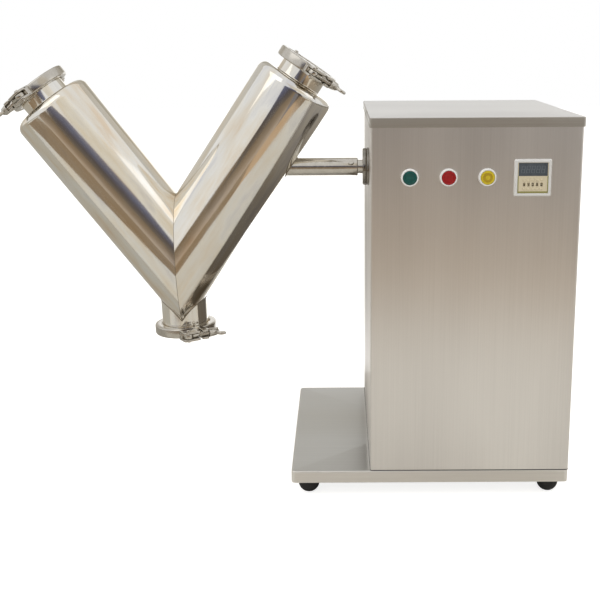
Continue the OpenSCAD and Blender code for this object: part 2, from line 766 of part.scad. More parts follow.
module drive_screws() {
    color("silver") {
        at_frame_bolts() translate([0, 0, z0 + sheet_t + pad_t]) {
            cylinder(r = frame_head_r, h = frame_head_h);
            translate([0, 0, -frame_bolt_len + pad_t]) cylinder(r = frame_bolt_r, h = frame_bolt_len - pad_t);
        }
        at_shelf_bolts() translate([0, 0, foot_t]) {
            cylinder(r = frame_head_r - loose, h = frame_head_h);
            translate([0, 0, -frame_bolt_len]) cylinder(r = frame_bolt_r, h = frame_bolt_len);
        }
        at_cover_screws() translate([0, 0, cover_t]) {
            cylinder(r = gear_head_r, h = gear_head_h);
            translate([0, 0, -gear_bolt_len]) cylinder(r = gear_bolt_r, h = gear_bolt_len);
        }
        at_motor_bolts() translate([0, 0, flange_t]) {
            cylinder(r = gear_head_r, h = gear_head_h);
            translate([0, 0, -gear_bolt_len]) cylinder(r = gear_bolt_r, h = gear_bolt_len);
        }
        at_hub_screws() translate([0, 0, sheet_t]) {
            cylinder(r = hub_screw_head, h = hub_screw_head_h);
            translate([0, 0, -hub_screw_len]) cylinder(r = hub_screw_r, h = hub_screw_len);
        }
    }
}

// Hub on the cabinet's left face

module hub_plate() {
    color("#77736c")
    difference() {
        translate([x0 - hub_plate_t, shaft_y, shaft_z]) along_x() ring(hub_d / 2, hub_bearing_d / 2, hub_plate_t);
        at_hub_screws() translate([0, 0, -hub_plate_t - eps]) cylinder(r = hub_screw_r + fit, h = hub_plate_t + 2 * eps);
    }
}

module hub_flange() {
    color("#8d8982")
    difference() {
        translate([x0 - hub_plate_t - hub_t, shaft_y, shaft_z]) along_x()
            ring(hub_d / 2 - hub_edge, shaft_r + loose, hub_t);
        translate([x0 - hub_plate_t - hub_t + hub_lip, shaft_y, shaft_z]) along_x()
            cylinder(d = hub_bearing_d, h = hub_t);
        at_hub_screws() translate([0, 0, sheet_t - hub_screw_len - fit])
            cylinder(r = hub_screw_r + fit, h = hub_screw_len);
    }
}

hub_edge = 1;                               // step between the flange and its back plate

// Sleeve of the drum, coped to the right leg, with its locking screw

screw_place = 29;                           // sleeve's screw from the cabinet's left face
screw_lift = 35;                            // degrees above the front
sleeve_bolt_r = 3;
sleeve_head_r = 5;
sleeve_head_h = 4;
dimple = 1.5;                               // screw's point inside the shaft

module at_sleeve_screw() {
    translate([x0 - screw_place, shaft_y, shaft_z]) rotate([90 - screw_lift, 0, 0]) children();
}

module shaft_sleeve() {
    sleeve_r = sleeve_d / 2;
    color("#c8c4bc")
    difference() {
        translate([x0 - sleeve_gap, shaft_y, shaft_z]) rotate([0, -90, 0]) cylinder(r = sleeve_r, h = drum_reach / 2);
        translate([x0 - shaft_in - loose, shaft_y, shaft_z]) along_x() cylinder(r = shaft_r + fit, h = shaft_in);
        in_v() rotate([0, half_angle, 0]) cylinder(r = leg_r, h = right_len);
        at_sleeve_screw() cylinder(r = sleeve_bolt_r + fit, h = sleeve_d);
    }
}

module sleeve_screw() {
    color("#a8a8a8")
    at_sleeve_screw() {
        translate([0, 0, shaft_r - dimple + loose]) cylinder(r = sleeve_bolt_r, h = sleeve_d / 2 - shaft_r + dimple);
        translate([0, 0, sleeve_d / 2 + fit]) cylinder(r = sleeve_head_r, h = sleeve_head_h);
    }
}

// Drum

// Puts the crossing of the legs' axes at its place, with +Z along the bisector
module in_v() { translate([vx, shaft_y, vz]) rotate([0, -v_lean, 0]) children(); }

// Puts a shape at a port's joint, with +Z out of the drum
module at_port(p) { in_v() rotate([0, p[0], 0]) translate([0, 0, p[1]]) children(); }

// A leg with a rounded shoulder, from below the crossing of the axes
module leg(r, len, corner) {
    translate([0, 0, -leg_d]) cylinder(r = r, h = len - corner + leg_d);
    translate([0, 0, -leg_d]) cylinder(r = r - corner, h = len + leg_d);
    translate([0, 0, len - corner]) rotate_extrude() translate([r - corner, 0]) circle(r = corner);
}

// The two legs, each cut at the bisector's plane, drawn in by the given wall
module v_shape(wall) {
    intersection() {
        rotate([0, -half_angle, 0]) leg(leg_r - wall, left_len - wall, shoulder_r - wall);
        translate([-reach, -reach, -reach]) cube([reach, 2 * reach, 2 * reach]);
    }
    intersection() {
        rotate([0, half_angle, 0]) leg(leg_r - wall, right_len - wall, shoulder_r - wall);
        translate([0, -reach, -reach]) cube([reach, 2 * reach, 2 * reach]);
    }
}

half_gasket = gasket_t / 2;
rim_r = flange_d / 2;
rim_rise = (rim_r - neck_r) * tan(rim_slope);
neck_lens = [neck_len + wall_t, neck_len + wall_t, outlet_len];

// A flange below the joint at z = 0, with its sloping back
module flange() {
    rotate_extrude()
        polygon([[neck_bore, -half_gasket], [rim_r, -half_gasket], [rim_r, -half_gasket - rim_t],
            [neck_r, -half_gasket - rim_t - rim_rise], [neck_bore, -half_gasket - rim_t - rim_rise]]);
}

module drum_shell() {
    color("#d6d2cb")
    difference() {
        union() {
            in_v() v_shape(0);
            for (i = [0:2]) at_port(PORTS[i]) {
                flange();
                translate([0, 0, -neck_lens[i]]) cylinder(r = neck_r, h = neck_lens[i] - half_gasket);
            }
        }
        in_v() v_shape(wall_t);
        for (i = [0:2]) at_port(PORTS[i])
            translate([0, 0, -neck_lens[i] - eps]) cylinder(r = neck_bore, h = neck_lens[i] + leg_r);
    }
}

module gaskets() {
    color("white")
    for (p = PORTS) at_port(p) translate([0, 0, -half_gasket]) ring(rim_r, neck_bore, gasket_t);
}

module cap() {
    rotate_extrude()
        polygon([[0, half_gasket], [rim_r, half_gasket], [rim_r, half_gasket + rim_t],
            [neck_r, half_gasket + rim_t + rim_rise], [neck_r, half_gasket + cap_t], [0, half_gasket + cap_t]]);
}

module left_cap() { color("#c9c6c0") at_port(LEFT) cap(); }
module right_cap() { color("#c9c6c0") at_port(RIGHT) cap(); }
module outlet_cap() { color("#c9c6c0") at_port(OUTLET) cap(); }

// Clamps: two hinged halves, drawn together by an eye bolt and a wing nut.
// In a clamp's own frame the neck's axis is Z, the bolt is in front and points along +X.

clamp_r = clamp_d / 2;
pin_r = pin_d / 2;
clamp_play = 0.1;                           // clearance over the flanges
lip_r = neck_r + 2.4;                       // opening of the clamp around the neck
groove_deep = 1.5;                          // groove beyond the flanges' rim
edge_cut = 1.5;                             // bevel of the clamp's outer edges
hinge_r = 55.5;                             // hinge pin from the neck's axis
knuckle_r = 5.5;
knuckle_w = 8;
eye_r = 7.5;
eye_w = 8;
fork_len = 10;                              // fork behind the pivot
pivot_x = -20;                              // pivot pin from the split
seat_r = 34;                                // nut's seat from the pivot pin
pin_stick = 2.5;                            // pins beyond the clamp's faces
nut_len = 14;
nut_r = 7.5;
wing_t = 5;
wing_out = 10;                              // wings beyond the nut
bolt_tip = 5;                               // bolt beyond the nut
fork_floor = bolt_r - eye_r - loose;
slot_floor = bolt_r - bolt_d / 2 - loose;
lug_top = bolt_r + eye_r;

module at_clamp(p) { at_port(p) rotate([0, p[2], 0]) rotate([0, 0, clamp_turn]) children(); }

module clamp_ring() {
    h = half_gasket + rim_t + clamp_play;
    rotate_extrude()
        polygon([[rim_r + groove_deep, h], [rim_r, h], [lip_r, h + (rim_r - lip_r) * tan(rim_slope)],
            [lip_r, clamp_t / 2], [clamp_r - edge_cut, clamp_t / 2], [clamp_r, clamp_t / 2 - edge_cut],
            [clamp_r, edge_cut - clamp_t / 2], [clamp_r - edge_cut, -clamp_t / 2], [lip_r, -clamp_t / 2],
            [lip_r, -h - (rim_r - lip_r) * tan(rim_slope)], [rim_r, -h], [rim_r + groove_deep, -h]]);
}

// A block in front of the ring, from x to x + w, up to the lug's top
module lug(x, w) {
    translate([x, -lug_top, -clamp_t / 2]) cube([w, lug_top - rim_r - groove_deep, clamp_t]);
}

module clamp_halves() {
    // The half with the fork
    difference() {
        union() {
            intersection() {
                clamp_ring();
                translate([-reach, -reach, -reach]) cube([reach - split_gap / 2, 2 * reach, 2 * reach]);
            }
            lug(pivot_x - fork_len, fork_len - pivot_x - split_gap / 2);
            translate([0, hinge_r, -knuckle_w / 2]) cylinder(r = knuckle_r, h = knuckle_w);
        }
        translate([pivot_x - fork_len - eps, -lug_top - eps, -eye_w / 2 - loose])
            cube([fork_len - pivot_x + eps, lug_top - fork_floor + eps, eye_w + 2 * loose]);
        translate([pivot_x, -bolt_r, -reach / 2]) cylinder(r = pin_r + fit, h = reach);
        translate([0, hinge_r, -reach / 2]) cylinder(r = pin_r + fit, h = reach);
        for (z = [knuckle_w / 2, -clamp_t / 2 - eps])
            translate([0, hinge_r, z]) cylinder(r = knuckle_r + loose, h = clamp_t / 2 - knuckle_w / 2 + eps);
    }
    // The half with the slotted lug
    difference() {
        union() {
            intersection() {
                clamp_ring();
                translate([split_gap / 2, -reach, -reach]) cube([reach, 2 * reach, 2 * reach]);
            }
            intersection() {
                lug(split_gap / 2, seat_r);
                translate([pivot_x, -bolt_r, -clamp_t]) cylinder(r = seat_r, h = 2 * clamp_t);
            }
            for (z = [knuckle_w / 2 + fit, -clamp_t / 2])
                translate([0, hinge_r, z]) cylinder(r = knuckle_r, h = clamp_t / 2 - knuckle_w / 2 - fit);
        }
        translate([0, -lug_top - eps, -bolt_d / 2 - loose])
            cube([seat_r, lug_top - slot_floor + eps, bolt_d + 2 * loose]);
        translate([0, hinge_r, -reach / 2]) cylinder(r = pin_r + fit, h = reach);
        translate([0, hinge_r, -knuckle_w / 2 - fit]) cylinder(r = knuckle_r + loose, h = knuckle_w + 2 * fit);
    }
}

module left_clamp() { color("#bdb9b2") at_clamp(LEFT) clamp_halves(); }
module right_clamp() { color("#bdb9b2") at_clamp(RIGHT) clamp_halves(); }
module outlet_clamp() { color("#bdb9b2") at_clamp(OUTLET) clamp_halves(); }

module clamp_pins() {
    pin_len = clamp_t + 2 * pin_stick;
    color("#a8a8a8")
    for (p = PORTS) at_clamp(p) {
        translate([pivot_x, -bolt_r, -pin_len / 2]) cylinder(r = pin_r, h = pin_len);
        translate([0, hinge_r, -pin_len / 2]) cylinder(r = pin_r, h = pin_len);
    }
}

bolt_len = seat_r + loose + nut_len + bolt_tip;

module eye_bolt() {
    translate([pivot_x, -bolt_r, 0])
        difference() {
            union() {
                translate([0, 0, -eye_w / 2]) cylinder(r = eye_r, h = eye_w);
                along_x() cylinder(d = bolt_d - loose, h = bolt_len);
            }
            translate([0, 0, -eye_w]) cylinder(r = pin_r + fit, h = 2 * eye_w);
        }
}

module left_eye_bolt() { color("#b5b1aa") at_clamp(LEFT) eye_bolt(); }
module right_eye_bolt() { color("#b5b1aa") at_clamp(RIGHT) eye_bolt(); }
module outlet_eye_bolt() { color("#b5b1aa") at_clamp(OUTLET) eye_bolt(); }

// A wing nut whose wings lie in the clamp's plane and flare away from it
module wing_nut() {
    translate([pivot_x + seat_r + loose, -bolt_r, 0])
        difference() {
            union() {
                along_x() cylinder(r = nut_r, h = nut_len);
                translate([0, 0, -wing_t / 2]) linear_extrude(wing_t)
                    polygon([[wing_t, 0], [nut_len, wing_span], [nut_len + wing_out, wing_span],
                        [nut_len + wing_out, wing_span - wing_t], [nut_len, nut_r / 2], [nut_len, -nut_r / 2],
                        [nut_len + wing_out, wing_t - wing_span], [nut_len + wing_out, -wing_span],
                        [nut_len, -wing_span]]);
            }
            translate([-eps, 0, 0]) along_x() cylinder(d = bolt_d - loose + 2 * fit, h = nut_len + wing_out);
        }
}

module left_wing_nut() { color("#b5b1aa") at_clamp(LEFT) wing_nut(); }
module right_wing_nut() { color("#b5b1aa") at_clamp(RIGHT) wing_nut(); }
module outlet_wing_nut() { color("#b5b1aa") at_clamp(OUTLET) wing_nut(); }

// Controls

barrel_len = 18;
lock_w = 27;
lock_t = 4;
block_w = 28;
block_len = 22;
stem_r = 4;
stem_len = 5;
stem_room = 14;
button_body = 12;                           // button behind the panel's face
button_proud = 0.5;
head_t = 1.8;
barrel_wall = 1.2;
plunger_r = barrel_d / 2 - barrel_wall - loose;

module at_button(i) { translate([button_x[i], y0, control_z]) along_y() children(); }

module button_bezels() {
    color("#eceae4")
    for (i = [0:2]) at_button(i) difference() {
        union() {
            translate([0, 0, -bezel_h]) cylinder(d = bezel_d, h = bezel_h);
            cylinder(d = barrel_d, h = barrel_len);
        }
        translate([0, 0, -bezel_h - eps]) cylinder(r = button_d / 2 + loose, h = bezel_h);
        translate([0, 0, -bezel_h]) cylinder(r = plunger_r + loose, h = bezel_h + barrel_len + eps);
    }
}

module button_nuts() {
    color("#303030")
    for (i = [0:2]) at_button(i) translate([0, 0, sheet_t]) difference() {
        hex(lock_w, lock_t);
        translate([0, 0, -eps]) cylinder(d = barrel_d + 2 * fit, h = lock_t + 2 * eps);
    }
}

module contact_blocks() {
    color("#303030")
    for (i = [0:2]) at_button(i) difference() {
        translate([-block_w / 2, -block_w / 2, barrel_len]) cube([block_w, block_w, block_len]);
        translate([0, 0, barrel_len - eps]) cylinder(r = stem_r + loose, h = stem_room);
    }
}

module button() {
    translate([0, 0, -bezel_h - button_proud]) cylinder(d = button_d, h = head_t);
    translate([0, 0, -bezel_h]) cylinder(r = plunger_r, h = bezel_h + button_body);
    translate([0, 0, button_body]) cylinder(r = stem_r, h = barrel_len - button_body + stem_len);
}

module green_button() { color("#1f5f5a") at_button(0) button(); }
module red_button() { color("#a81c22") at_button(1) button(); }
module yellow_button() { color("#c8b420") at_button(2) button(); }

// Timer

frame_rise = 5;                             // timer's frame in front of the panel
face_rise = 4;
face_slot = 0.2;                            // gap between the face and its frame
case_len = 62;
case_wall = 1.5;
window_w = 44.5;
window_h = 20;
window_t = 1.2;
window_lift = 13;                           // display's middle above the timer's middle
digit_drop = 10;                            // digits' middle below the timer's middle
digit_w = 5;
digit_hole_w = 3.6;
digit_hole_h = 5.5;
axle_r = 1.5;
digit_gap = 0.5;                            // wheel behind the face
axle_y = -face_rise + case_wall + digit_gap + digit_d / 2;

module at_timer() { translate([timer_x, y0, timer_z]) children(); }

module timer_frame() {
    opening = face_w + 2 * face_slot;
    color("#d5d3cc")
    at_timer() difference() {
        translate([-timer_w / 2, -frame_rise, -timer_w / 2]) cube([timer_w, frame_rise, timer_w]);
        translate([-opening / 2, -frame_rise - eps, -opening / 2]) cube([opening, frame_rise + 2 * eps, opening]);
    }
}

module timer_case() {
    inside = case_w - 2 * case_wall;
    color("#cfc39a")
    at_timer() {
        difference() {
            union() {
                translate([-face_w / 2, -face_rise, -face_w / 2]) cube([face_w, face_rise, face_w]);
                translate([-case_w / 2, 0, -case_w / 2]) cube([case_w, case_len, case_w]);
            }
            translate([-inside / 2, -face_rise + case_wall, -inside / 2])
                cube([inside, case_len + face_rise - 2 * case_wall, inside]);
            translate([-window_w / 2 - fit, -face_rise - eps, window_lift - window_h / 2 - fit])
                cube([window_w + 2 * fit, window_t + eps, window_h + 2 * fit]);
            for (i = [-2:2])
                translate([i * digit_pitch - digit_hole_w / 2, -face_rise - eps, -digit_drop - digit_hole_h / 2])
                    cube([digit_hole_w, case_wall + 2 * eps, digit_hole_h]);
        }
        translate([-inside / 2, axle_y, -digit_drop]) along_x() cylinder(r = axle_r, h = inside);
    }
}

module timer_window() {
    color("#3a3f42")
    at_timer() translate([-window_w / 2, -face_rise, window_lift - window_h / 2]) cube([window_w, window_t, window_h]);
}

module digit_wheel(i) {
    color("#e8dfba")
    at_timer() translate([i * digit_pitch - digit_w / 2, axle_y, -digit_drop]) along_x()
        difference() {
            rotate(18) cylinder(d = digit_d, h = digit_w, $fn = 10);
            translate([0, 0, -eps]) cylinder(r = axle_r + fit, h = digit_w + 2 * eps);
        }
}

module digit_wheel_1() { digit_wheel(-2); }
module digit_wheel_2() { digit_wheel(-1); }
module digit_wheel_3() { digit_wheel(0); }
module digit_wheel_4() { digit_wheel(1); }
module digit_wheel_5() { digit_wheel(2); }

// Electrical pieces inside the cabinet

rail_w = 35;
rail_t = 7.5;
rail_wall = 1;
rail_len = 200;
rail_up = 240;                              // rail above the tray
rail_inset = 120;                           // rail's front end behind the cabinet's front
rail_z = z0 + rail_up;
rail_y = y0 + rail_inset;
right_in = x0 + cab_w - sheet_t;            // inside of the cabinet's right wall
relay_w = 45;
relay_h = 75;
relay_d = 80;

module din_rail() {
    lip = 5;
    color("#c0c0c0")
    translate([right_in, rail_y, rail_z]) {
        translate([-rail_wall, 0, lip - rail_w / 2]) cube([rail_wall, rail_len, rail_w - 2 * lip]);
        for (s = [-1, 1]) {
            translate([-rail_t, 0, s * (rail_w / 2 - lip) - rail_wall / 2]) cube([rail_t, rail_len, rail_wall]);
            translate([-rail_t, 0, s * (rail_w / 2 - lip / 2) - lip / 2 - rail_wall / 2])
                cube([rail_wall, rail_len, lip + rail_wall]);
        }
    }
}

module contactor() {
    lip_room = rail_w + 2 * rail_wall + 2 * loose;
    color("#404448")
    difference() {
        translate([right_in - rail_t - relay_d + rail_wall * 2, rail_y + rail_len / 3, rail_z - relay_h / 2])
            cube([relay_d, relay_w, relay_h]);
        translate([right_in - rail_t - fit, rail_y, rail_z - lip_room / 2]) cube([relay_d, rail_len, lip_room]);
    }
}

gland_hex = 22;
gland_hex_t = 6;
gland_dome_r = 9.5;
gland_len = 11;
gland_thread = 9;
gland_nut_t = 5;
cable_r = 4.2;

module cable_gland() {
    color("#2b2b2b")
    translate([gland_x, y1, gland_z]) along_y() {
        difference() {
            union() {
                hex(gland_hex, gland_hex_t);
                cylinder(r = gland_dome_r, h = gland_len);
                translate([0, 0, -gland_thread]) cylinder(r = gland_r, h = gland_thread);
            }
            translate([0, 0, -gland_thread - eps]) cylinder(r = cable_r, h = gland_thread + gland_len + 2 * eps);
        }
        translate([0, 0, -sheet_t - gland_nut_t]) difference() {
            hex(gland_hex, gland_nut_t);
            translate([0, 0, -eps]) cylinder(r = gland_r + fit, h = gland_nut_t + 2 * eps);
        }
    }
}

base_tray();
base_plate();
feet();
foot_studs();
cabinet_shell();
back_panel();
panel_screws();
lid();
drive_frame();
gearbox_housing();
gearbox_cover();
drive_screws();
bearings();
motor_housing();
motor_stator();
motor_flange();
fan_cowl();
terminal_box();
hub_flange();
hub_plate();
button_bezels();
button_nuts();
contact_blocks();
timer_frame();
timer_case();
timer_window();
din_rail();
contactor();
cable_gland();
green_button();
red_button();
yellow_button();
digit_wheel_1();
digit_wheel_2();
digit_wheel_3();
digit_wheel_4();
digit_wheel_5();
worm_shaft();
motor_rotor();
cooling_fan();
drive_shaft();
worm_wheel();
wheel_key();
shaft_sleeve();
sleeve_screw();
drum_shell();
gaskets();
left_cap();
right_cap();
outlet_cap();
left_clamp();
right_clamp();
outlet_clamp();
clamp_pins();
left_eye_bolt();
right_eye_bolt();
outlet_eye_bolt();
left_wing_nut();
right_wing_nut();
outlet_wing_nut();
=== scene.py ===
import math

import bmesh
import bpy
import numpy as np
from mathutils import Matrix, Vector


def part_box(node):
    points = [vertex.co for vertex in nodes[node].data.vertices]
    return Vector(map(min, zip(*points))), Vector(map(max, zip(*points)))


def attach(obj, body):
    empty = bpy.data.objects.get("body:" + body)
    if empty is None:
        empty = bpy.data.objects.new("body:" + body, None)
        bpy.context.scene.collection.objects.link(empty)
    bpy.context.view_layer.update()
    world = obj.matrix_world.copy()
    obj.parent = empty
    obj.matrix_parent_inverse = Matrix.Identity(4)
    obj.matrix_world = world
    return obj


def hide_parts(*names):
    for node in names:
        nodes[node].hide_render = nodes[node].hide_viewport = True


# A bench V blender: polished drum on a shaft beside a brushed steel drive cabinet.
# The CAD frame is in metres, so sizes below are written in millimetres and turned with mm.

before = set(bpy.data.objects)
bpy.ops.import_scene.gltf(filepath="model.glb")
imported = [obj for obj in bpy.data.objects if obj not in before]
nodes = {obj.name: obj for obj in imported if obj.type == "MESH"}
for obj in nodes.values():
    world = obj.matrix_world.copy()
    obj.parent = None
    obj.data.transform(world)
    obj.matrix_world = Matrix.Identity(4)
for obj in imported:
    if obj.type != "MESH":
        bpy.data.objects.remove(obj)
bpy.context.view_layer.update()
mm = 0.001
grainDepth = 0.1 * mm
print("frame loaded,", len(nodes), "nodes")


# Colours are sRGB hex and the shaders want linear
def hexLinear(code):
    c = np.array([int(code[i:i + 2], 16) for i in (1, 3, 5)]) / 255
    c = np.where(c <= 0.04045, c / 12.92, ((c + 0.055) / 1.055) ** 2.4)
    return tuple(float(v) for v in c) + (1.0,)


# Sets a node's inputs to numbers, colours or the sockets that feed them
def setInputs(tree, node, inputs):
    for key, value in inputs.items():
        if isinstance(value, bpy.types.NodeSocket):
            tree.links.new(value, node.inputs[key])
        else:
            node.inputs[key].default_value = value


# Adds a node: settings are its attributes
def addNode(tree, kind, settings=None, inputs=None):
    node = tree.nodes.new(kind)
    for key, value in (settings or {}).items():
        setattr(node, key, value)
    setInputs(tree, node, inputs or {})
    return node


# A sum on numbers or sockets
def addMath(tree, operation, *values):
    return addNode(tree, "ShaderNodeMath", {"operation": operation}, dict(enumerate(values)))


# A new object in the scene, at the origin
def addObject(name, data):
    obj = bpy.data.objects.new(name, data)
    bpy.context.scene.collection.objects.link(obj)
    return obj


# A material with no nodes yet, and one with a Principled shader
def emptyMaterial(name):
    mat = bpy.data.materials.new(name)
    mat.use_nodes = True
    mat.node_tree.nodes.clear()
    return mat, mat.node_tree


def newMaterial(name):
    mat, tree = emptyMaterial(name)
    shader = addNode(tree, "ShaderNodeBsdfPrincipled")
    addNode(tree, "ShaderNodeOutputMaterial", None, {"Surface": shader.outputs[0]})
    return mat, tree, shader


# A colour ramp from (place, hex colour) stops
def addRamp(tree, stops, fac):
    ramp = addNode(tree, "ShaderNodeValToRGB", None, {0: fac})
    while len(ramp.color_ramp.elements) < len(stops):
        ramp.color_ramp.elements.new(0.5)
    for element, (place, code) in zip(ramp.color_ramp.elements, stops):
        element.position = place
        element.color = hexLinear(code)
    return ramp


# Noise on Object coordinates, turned about Y by tilt: sizes are the pattern's real sizes along X, Y and Z
def addNoise(tree, sizes, detail=2.0, rough=0.5, tilt=0.0):
    place = addNode(tree, "ShaderNodeTexCoord")
    stretch = addNode(tree, "ShaderNodeMapping", {"vector_type": "TEXTURE"},
                      {"Vector": place.outputs["Object"], "Rotation": (0, math.radians(tilt), 0),
                       "Scale": [size * mm for size in sizes]})
    return addNode(tree, "ShaderNodeTexNoise", None,
                   {"Vector": stretch.outputs[0], "Scale": 1.0, "Detail": detail, "Roughness": rough})


# Noise lies mostly between 0.25 and 0.75, so that span is stretched from low to high
def addRange(tree, value, low, high):
    return addNode(tree, "ShaderNodeMapRange", None, {0: value, 1: 0.25, 2: 0.75, 3: low, 4: high})


# Distance is the depth of the pattern in metres
def addBump(tree, height, strength, distance):
    return addNode(tree, "ShaderNodeBump", None, {"Strength": strength, "Distance": distance, "Height": height})


# 304 sheet, belt brushed: the scratches run along the grain's axis, so highlights smear across them, and the
# tone drifts in broad clouds. Real grit lines are 0.1 mm apart, drawn 1.6 to 2 mm apart so that they show.
def brushedSheet(name, look, grain):
    mat, tree, shader = newMaterial(name)
    lines = addNoise(tree, [look["streakLength"] if axis == grain else look["lineGap"] for axis in "xyz"], 3.0, 0.6)
    broad = addNoise(tree, [look["patch"] * (3 if axis == grain else 1) for axis in "xyz"], 2.0)
    tone = addRamp(tree, [(0.25, look["dark"]), (0.75, look["light"])], lines.outputs["Fac"])
    cloud = addRamp(tree, [(0.35, look["shade"]), (0.65, "#ffffff")], broad.outputs["Fac"])
    colour = addNode(tree, "ShaderNodeMix", {"data_type": "RGBA", "blend_type": "MULTIPLY"},
                     {0: 1.0, 6: tone.outputs[0], 7: cloud.outputs[0]})
    rough = addRange(tree, lines.outputs["Fac"], look["roughLow"], look["roughHigh"])
    bump = addBump(tree, lines.outputs["Fac"], look["bump"], grainDepth)
    tangent = addNode(tree, "ShaderNodeTangent", {"direction_type": "RADIAL", "axis": grain.upper()})
    setInputs(tree, shader, {"Base Color": colour.outputs[2], "Roughness": rough.outputs[0],
                             "Normal": bump.outputs[0], "Tangent": tangent.outputs[0],
                             "Anisotropic": look["smear"], "Metallic": 1.0})
    return mat


# 304 tube, buffed to a mirror by hand: clear reflections, wavy and streaked along the wheel's passes down the
# tube, over faint straw and blue stains. The tilt, in degrees, lays the passes along the leg.
def mirrorSteel(name, look, tilt):
    mat, tree, shader = newMaterial(name)
    haze = addNoise(tree, [look["hazePatch"]] * 2 + [look["passLength"]], 3.0, 0.5, tilt)
    wave = addNoise(tree, [look["waveLength"]] * 3, 1.0)
    buffed = addNoise(tree, [look["passWidth"]] * 2 + [look["passLength"]], 2.0, 0.5, tilt)
    stain = addNoise(tree, [look["stainPatch"]] * 2 + [look["stainLength"]], 3.0, 0.6, tilt)
    streak = addNoise(tree, [look["streakWidth"]] * 2 + [look["passLength"]], 2.0, 0.6, tilt)
    plain = addRamp(tree, [(0.3, look["dark"]), (0.7, look["light"])], haze.outputs["Fac"])
    tint = addRamp(tree, look["tints"], stain.outputs["Fac"])
    tone = addNode(tree, "ShaderNodeMix", {"data_type": "RGBA", "blend_type": "MULTIPLY"},
                   {0: 1.0, 6: plain.outputs[0], 7: tint.outputs[0]})
    rough = addRange(tree, streak.outputs["Fac"], look["roughLow"], look["roughHigh"])
    bump = addBump(tree, wave.outputs["Fac"], look["waveStrength"], look["waveHeight"] * mm)
    passes = addBump(tree, buffed.outputs["Fac"], look["passStrength"], look["passHeight"] * mm)
    tree.links.new(bump.outputs[0], passes.inputs["Normal"])
    setInputs(tree, shader, {"Base Color": tone.outputs[2], "Roughness": rough.outputs[0],
                             "Normal": passes.outputs[0], "Metallic": 1.0})
    return mat


# Turned, cast and plated metals: a tone that drifts between two colours over a grain in millimetres, a range of
# roughness and the strength of the grain's bump
def plainMetal(name, grain, dark, light, roughs, strength, metal=1.0):
    mat, tree, shader = newMaterial(name)
    noise = addNoise(tree, [grain] * 3, 4.0, 0.6)
    tone = addRamp(tree, [(0.3, dark), (0.7, light)], noise.outputs["Fac"])
    rough = addRange(tree, noise.outputs["Fac"], *roughs)
    bump = addBump(tree, noise.outputs["Fac"], strength, grainDepth)
    setInputs(tree, shader, {"Base Color": tone.outputs[0], "Roughness": rough.outputs[0],
                             "Normal": bump.outputs[0], "Metallic": metal})
    return mat


# Moulded plastic, rubber, enamel and ink: the same, with the index of refraction in place of metal
def mouldedPlastic(name, grain, dark, light, roughs, strength, ior=1.5):
    mat = plainMetal(name, grain, dark, light, roughs, strength, 0.0)
    mat.node_tree.nodes["Principled BSDF"].inputs["IOR"].default_value = ior
    return mat


# The V: two tubes that meet at a mitre, round shoulders, a neck on each end and one at the bottom
drum = {"reach": 311.6, "drop": 156.0, "lean": -1.77, "half": 35.75, "radius": 66.5, "wall": 2.0,
        "neck": 38.05, "neckWall": 1.65, "rim": 45.5, "rimT": 2.85, "rimSlope": 20.0, "gasket": 2.0,
        "shoulder": 19.0, "left": 331.0, "right": 354.5, "neckLen": 27.0, "outlet": 112.0,
        "neckFoot": 2.5, "rimRounds": [1.0, 0.6, 0.5]}
# The shaft's sleeve: its hole, its outside and how deep its socket is at the cabinet's end
sleeve = {"bore": 11.3, "outer": 14.6, "socket": 6.0}

sheetLook = {"streakLength": 260, "lineGap": 1.6, "patch": 260, "dark": "#f0ede9", "light": "#f7f4f0",
             "shade": "#e7e6e6", "roughLow": 0.37, "roughHigh": 0.43, "bump": 0.035, "smear": 0.8}
# Pan copies: the tray's top is painted darker than its rim and the lid's lip darker than its top, as painted shade
trayTopShadeLook = {**sheetLook, "shade": "#f4f2ee", "dark": "#c5c4c0", "light": "#cfceca", "lineGap": 2.0}
rimLook = {**sheetLook, "shade": "#f4f2ee", "dark": "#ebe7e1", "light": "#f3f0ea", "lineGap": 2.0}
lidLook = {**sheetLook, "dark": "#f1f1f1", "light": "#f8f8f8", "shade": "#f6f6f6", "lineGap": 2.0}
lipShadeLook = {**sheetLook, "shade": "#f4f2ee", "dark": "#bbb7b1", "light": "#c4c1bb", "lineGap": 2.0}
mirrorLook = {"hazePatch": 30, "waveLength": 110, "passWidth": 11, "passLength": 320, "passHeight": 0.09,
              "passStrength": 1.0, "dark": "#eae7e0", "light": "#f6f4ee", "roughLow": 0.03, "roughHigh": 0.15,
              "streakWidth": 4, "stainPatch": 26, "stainLength": 120,
              "tints": [(0.28, "#f2e2cf"), (0.42, "#f8f2e9"), (0.58, "#fbfbfb"), (0.72, "#eaebf2")],
              "waveStrength": 0.3, "waveHeight": 0.5}

